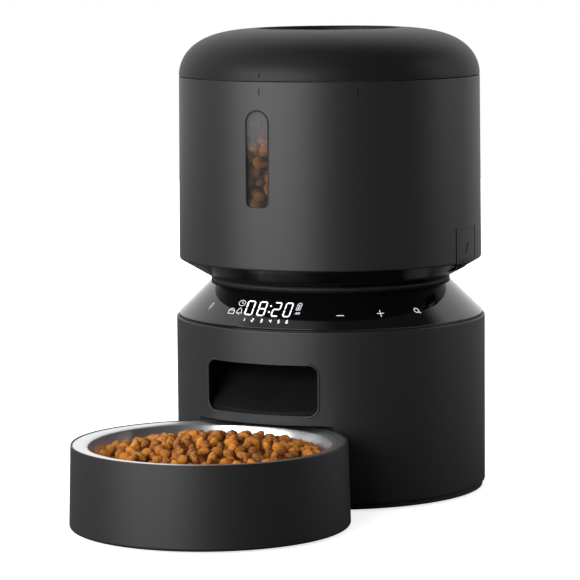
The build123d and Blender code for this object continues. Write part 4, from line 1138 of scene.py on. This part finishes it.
LAYER_DROP = 5.0 * MM
MOUND_RINGS = 8
MOUND_STEPS = 40
HEAP_TOP = 49.8 * MM
HEAP_EDGE = 40.8 * MM
HEAP_LEAN = (8 * MM, 8 * MM)
HEAP_INSETS = (4.4 * MM, 7.4 * MM, 12.4 * MM)
HEAP_SEED = 3
STORE_LEVEL = 219.0 * MM
STORE_SAG = 2.0 * MM
STORE_GAP = 4.4 * MM
STORE_SEED = 5
COLUMN_LOW = 3.0 * MM
COLUMN_HALF = 12
COLUMN_STEPS = 8
COLUMN_SHIFTS = (1.3 * MM, -2.2 * MM, -5.7 * MM)

kibble_crust, kibble_tree, kibble_surface = shader(
    "baked_crust", KIBBLE_LIGHT, KIBBLE_ROUGH, {"Specular IOR Level": 0.4}
)
crust = {"Vector": object_place(kibble_tree), **CRUST}
kibble_noise = add_node(kibble_tree, "ShaderNodeTexNoise", crust).outputs["Fac"]
kibble_tone = add_node(kibble_tree, "ShaderNodeAttribute", attribute_name="tone").outputs["Fac"]
# The crust colour follows the same noise as its relief, so pits come out darker: partly baked colour, partly
# painted shade. Each piece also has its own random tone.
kibble_tone_and_pit_shade = number_math(kibble_tree, "MULTIPLY_ADD", kibble_noise, CRUST_AND_PIT_SHADE_CONTRAST, kibble_tone)
kibble_shades = {"Factor": kibble_tone_and_pit_shade, "A": KIBBLE_DARK_AND_PIT_SHADE, "B": KIBBLE_LIGHT}
kibble_finish = {
    "Base Color": add_node(kibble_tree, "ShaderNodeMix", kibble_shades, data_type="RGBA").outputs["Result"],
    "Normal": bump(kibble_tree, CRUST_STRENGTH, CRUST_DEPTH, kibble_noise),
}
set_sockets(kibble_tree, kibble_surface, kibble_finish)


def scatter_tree():
    """Node tree that scatters lumpy pieces over a surface."""
    tree = bpy.data.node_groups.new("kibble_scatter", "GeometryNodeTree")
    face = tree.interface
    face.new_socket("Geometry", in_out="INPUT", socket_type="NodeSocketGeometry")
    for name, kind in (("Spacing", "Float"), ("Radius", "Float"), ("Seed", "Int"), ("Finish", "Material")):
        face.new_socket(name, in_out="INPUT", socket_type="NodeSocket" + kind)
    face.new_socket("Geometry", in_out="OUTPUT", socket_type="NodeSocketGeometry")
    given = add_node(tree, "NodeGroupInput").outputs

    def chance(kind, output, *limits):
        """Random value of a kind for each piece, between two limits."""
        first = 2 * output
        sockets = {first: limits[0], first + 1: limits[1], "Seed": given["Seed"]}
        return add_node(tree, "FunctionNodeRandomValue", sockets, data_type=kind).outputs[output]

    def geometry(kind, sockets, output="Geometry", **settings):
        """Output of a geometry node."""
        return add_node(tree, "GeometryNode" + kind, sockets, **settings).outputs[output]

    spread = {
        "Mesh": given["Geometry"],
        "Distance Min": given["Spacing"],
        "Density Max": KIBBLE_DENSITY,
        "Seed": given["Seed"],
    }
    points = geometry("DistributePointsOnFaces", spread, "Points", distribute_method="POISSON")
    ball = geometry("MeshIcoSphere", {"Radius": given["Radius"], "Subdivisions": 2}, "Mesh")
    put = {
        "Points": points,
        "Instance": geometry("Transform", {"Geometry": ball, "Scale": KIBBLE_FLAT}),
        "Rotation": chance(
            "FLOAT_VECTOR", 0, (-KIBBLE_TILT, -KIBBLE_TILT, 0), (KIBBLE_TILT, KIBBLE_TILT, KIBBLE_TURN)
        ),
        "Scale": chance("FLOAT", 1, *KIBBLE_SIZES),
    }
    keep = {
        "Geometry": geometry("InstanceOnPoints", put, "Instances"),
        "Name": "tone",
        "Value": chance("FLOAT", 1, *KIBBLE_TONES),
    }
    toned = geometry("StoreNamedAttribute", keep, domain="INSTANCE", data_type="FLOAT")
    lumps = add_node(tree, "ShaderNodeTexNoise", LUMPS).outputs["Color"]
    shift = {0: lumps, 1: [LUMP_DEPTH] * 3, 2: [-LUMP_DEPTH / 2] * 3}
    push = {
        "Geometry": geometry("RealizeInstances", {"Geometry": toned}),
        "Offset": vector_math(tree, "MULTIPLY_ADD", shift)["Vector"],
    }
    soft = geometry("SetShadeSmooth", {"Geometry": geometry("SetPosition", push)})
    finished = geometry("SetMaterial", {"Geometry": soft, "Material": given["Finish"]})
    add_node(tree, "NodeGroupOutput", {"Geometry": finished})
    return tree


kibble_scatter = scatter_tree()


def mound(build, centre, radius, top, edge, lean=(0, 0)):
    """Domed sheet of rings with its top moved to one side, added to a mesh under construction."""
    rows = []
    for ring in range(1, MOUND_RINGS + 1):
        share = ring / MOUND_RINGS
        x, y = [middle + shift * (1 - share) for middle, shift in zip(centre, lean)]
        z = top + (edge - top) * share**2
        rows.append(level_ring(build, x, y, radius * share, z, MOUND_STEPS))
    build.faces.new(rows[0])
    for inner, outer in zip(rows, rows[1:]):
        band(build, inner, outer)


def scatter(name, build, seed, body):
    """Scatter food over the sheets and make it one plain mesh."""
    piece = new_piece(name, build)
    step = piece.modifiers.new("scatter", "NODES")
    step.node_group = kibble_scatter
    values = {"Spacing": KIBBLE_SPACING, "Radius": KIBBLE_R, "Seed": seed, "Finish": kibble_crust}
    for socket in kibble_scatter.interface.items_tree:
        if socket.in_out == "INPUT" and socket.name in values:
            step[socket.identifier] = values[socket.name]
    bake(piece)
    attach(piece, body)


heap = bmesh.new()
for layer, inset in enumerate(HEAP_INSETS):
    drop = layer * LAYER_DROP
    mound(heap, bowl, throat_r - inset, HEAP_TOP - drop, HEAP_EDGE - drop, HEAP_LEAN)
scatter("bowl_food", heap, HEAP_SEED, "bowl")

store = bmesh.new()
store_r = HOPPER_R_HIGH - HOPPER_WALL - STORE_GAP
for layer in (0, 1):
    level = STORE_LEVEL - layer * LAYER_DROP
    mound(store, tower, store_r, level, level - STORE_SAG)
for shift in COLUMN_SHIFTS:
    r = store_r + shift
    column = []
    for row in range(COLUMN_STEPS + 1):
        z = window_z - COLUMN_LOW + (STORE_LEVEL - window_z) * row / COLUMN_STEPS
        line = []
        for step in range(COLUMN_STEPS + 1):
            turn = math.radians(-COLUMN_HALF + 2 * COLUMN_HALF * step / COLUMN_STEPS)
            line.append(store.verts.new((tower.x + r * math.sin(turn), tower.y - r * math.cos(turn), z)))
        column.append(line)
    for lower, upper in zip(column, column[1:]):
        band(store, lower, upper, closed=False)
scatter("hopper_food", store, STORE_SEED, "hopper")


# Output view.
bpy.context.scene.view_settings.view_transform = "Standard"
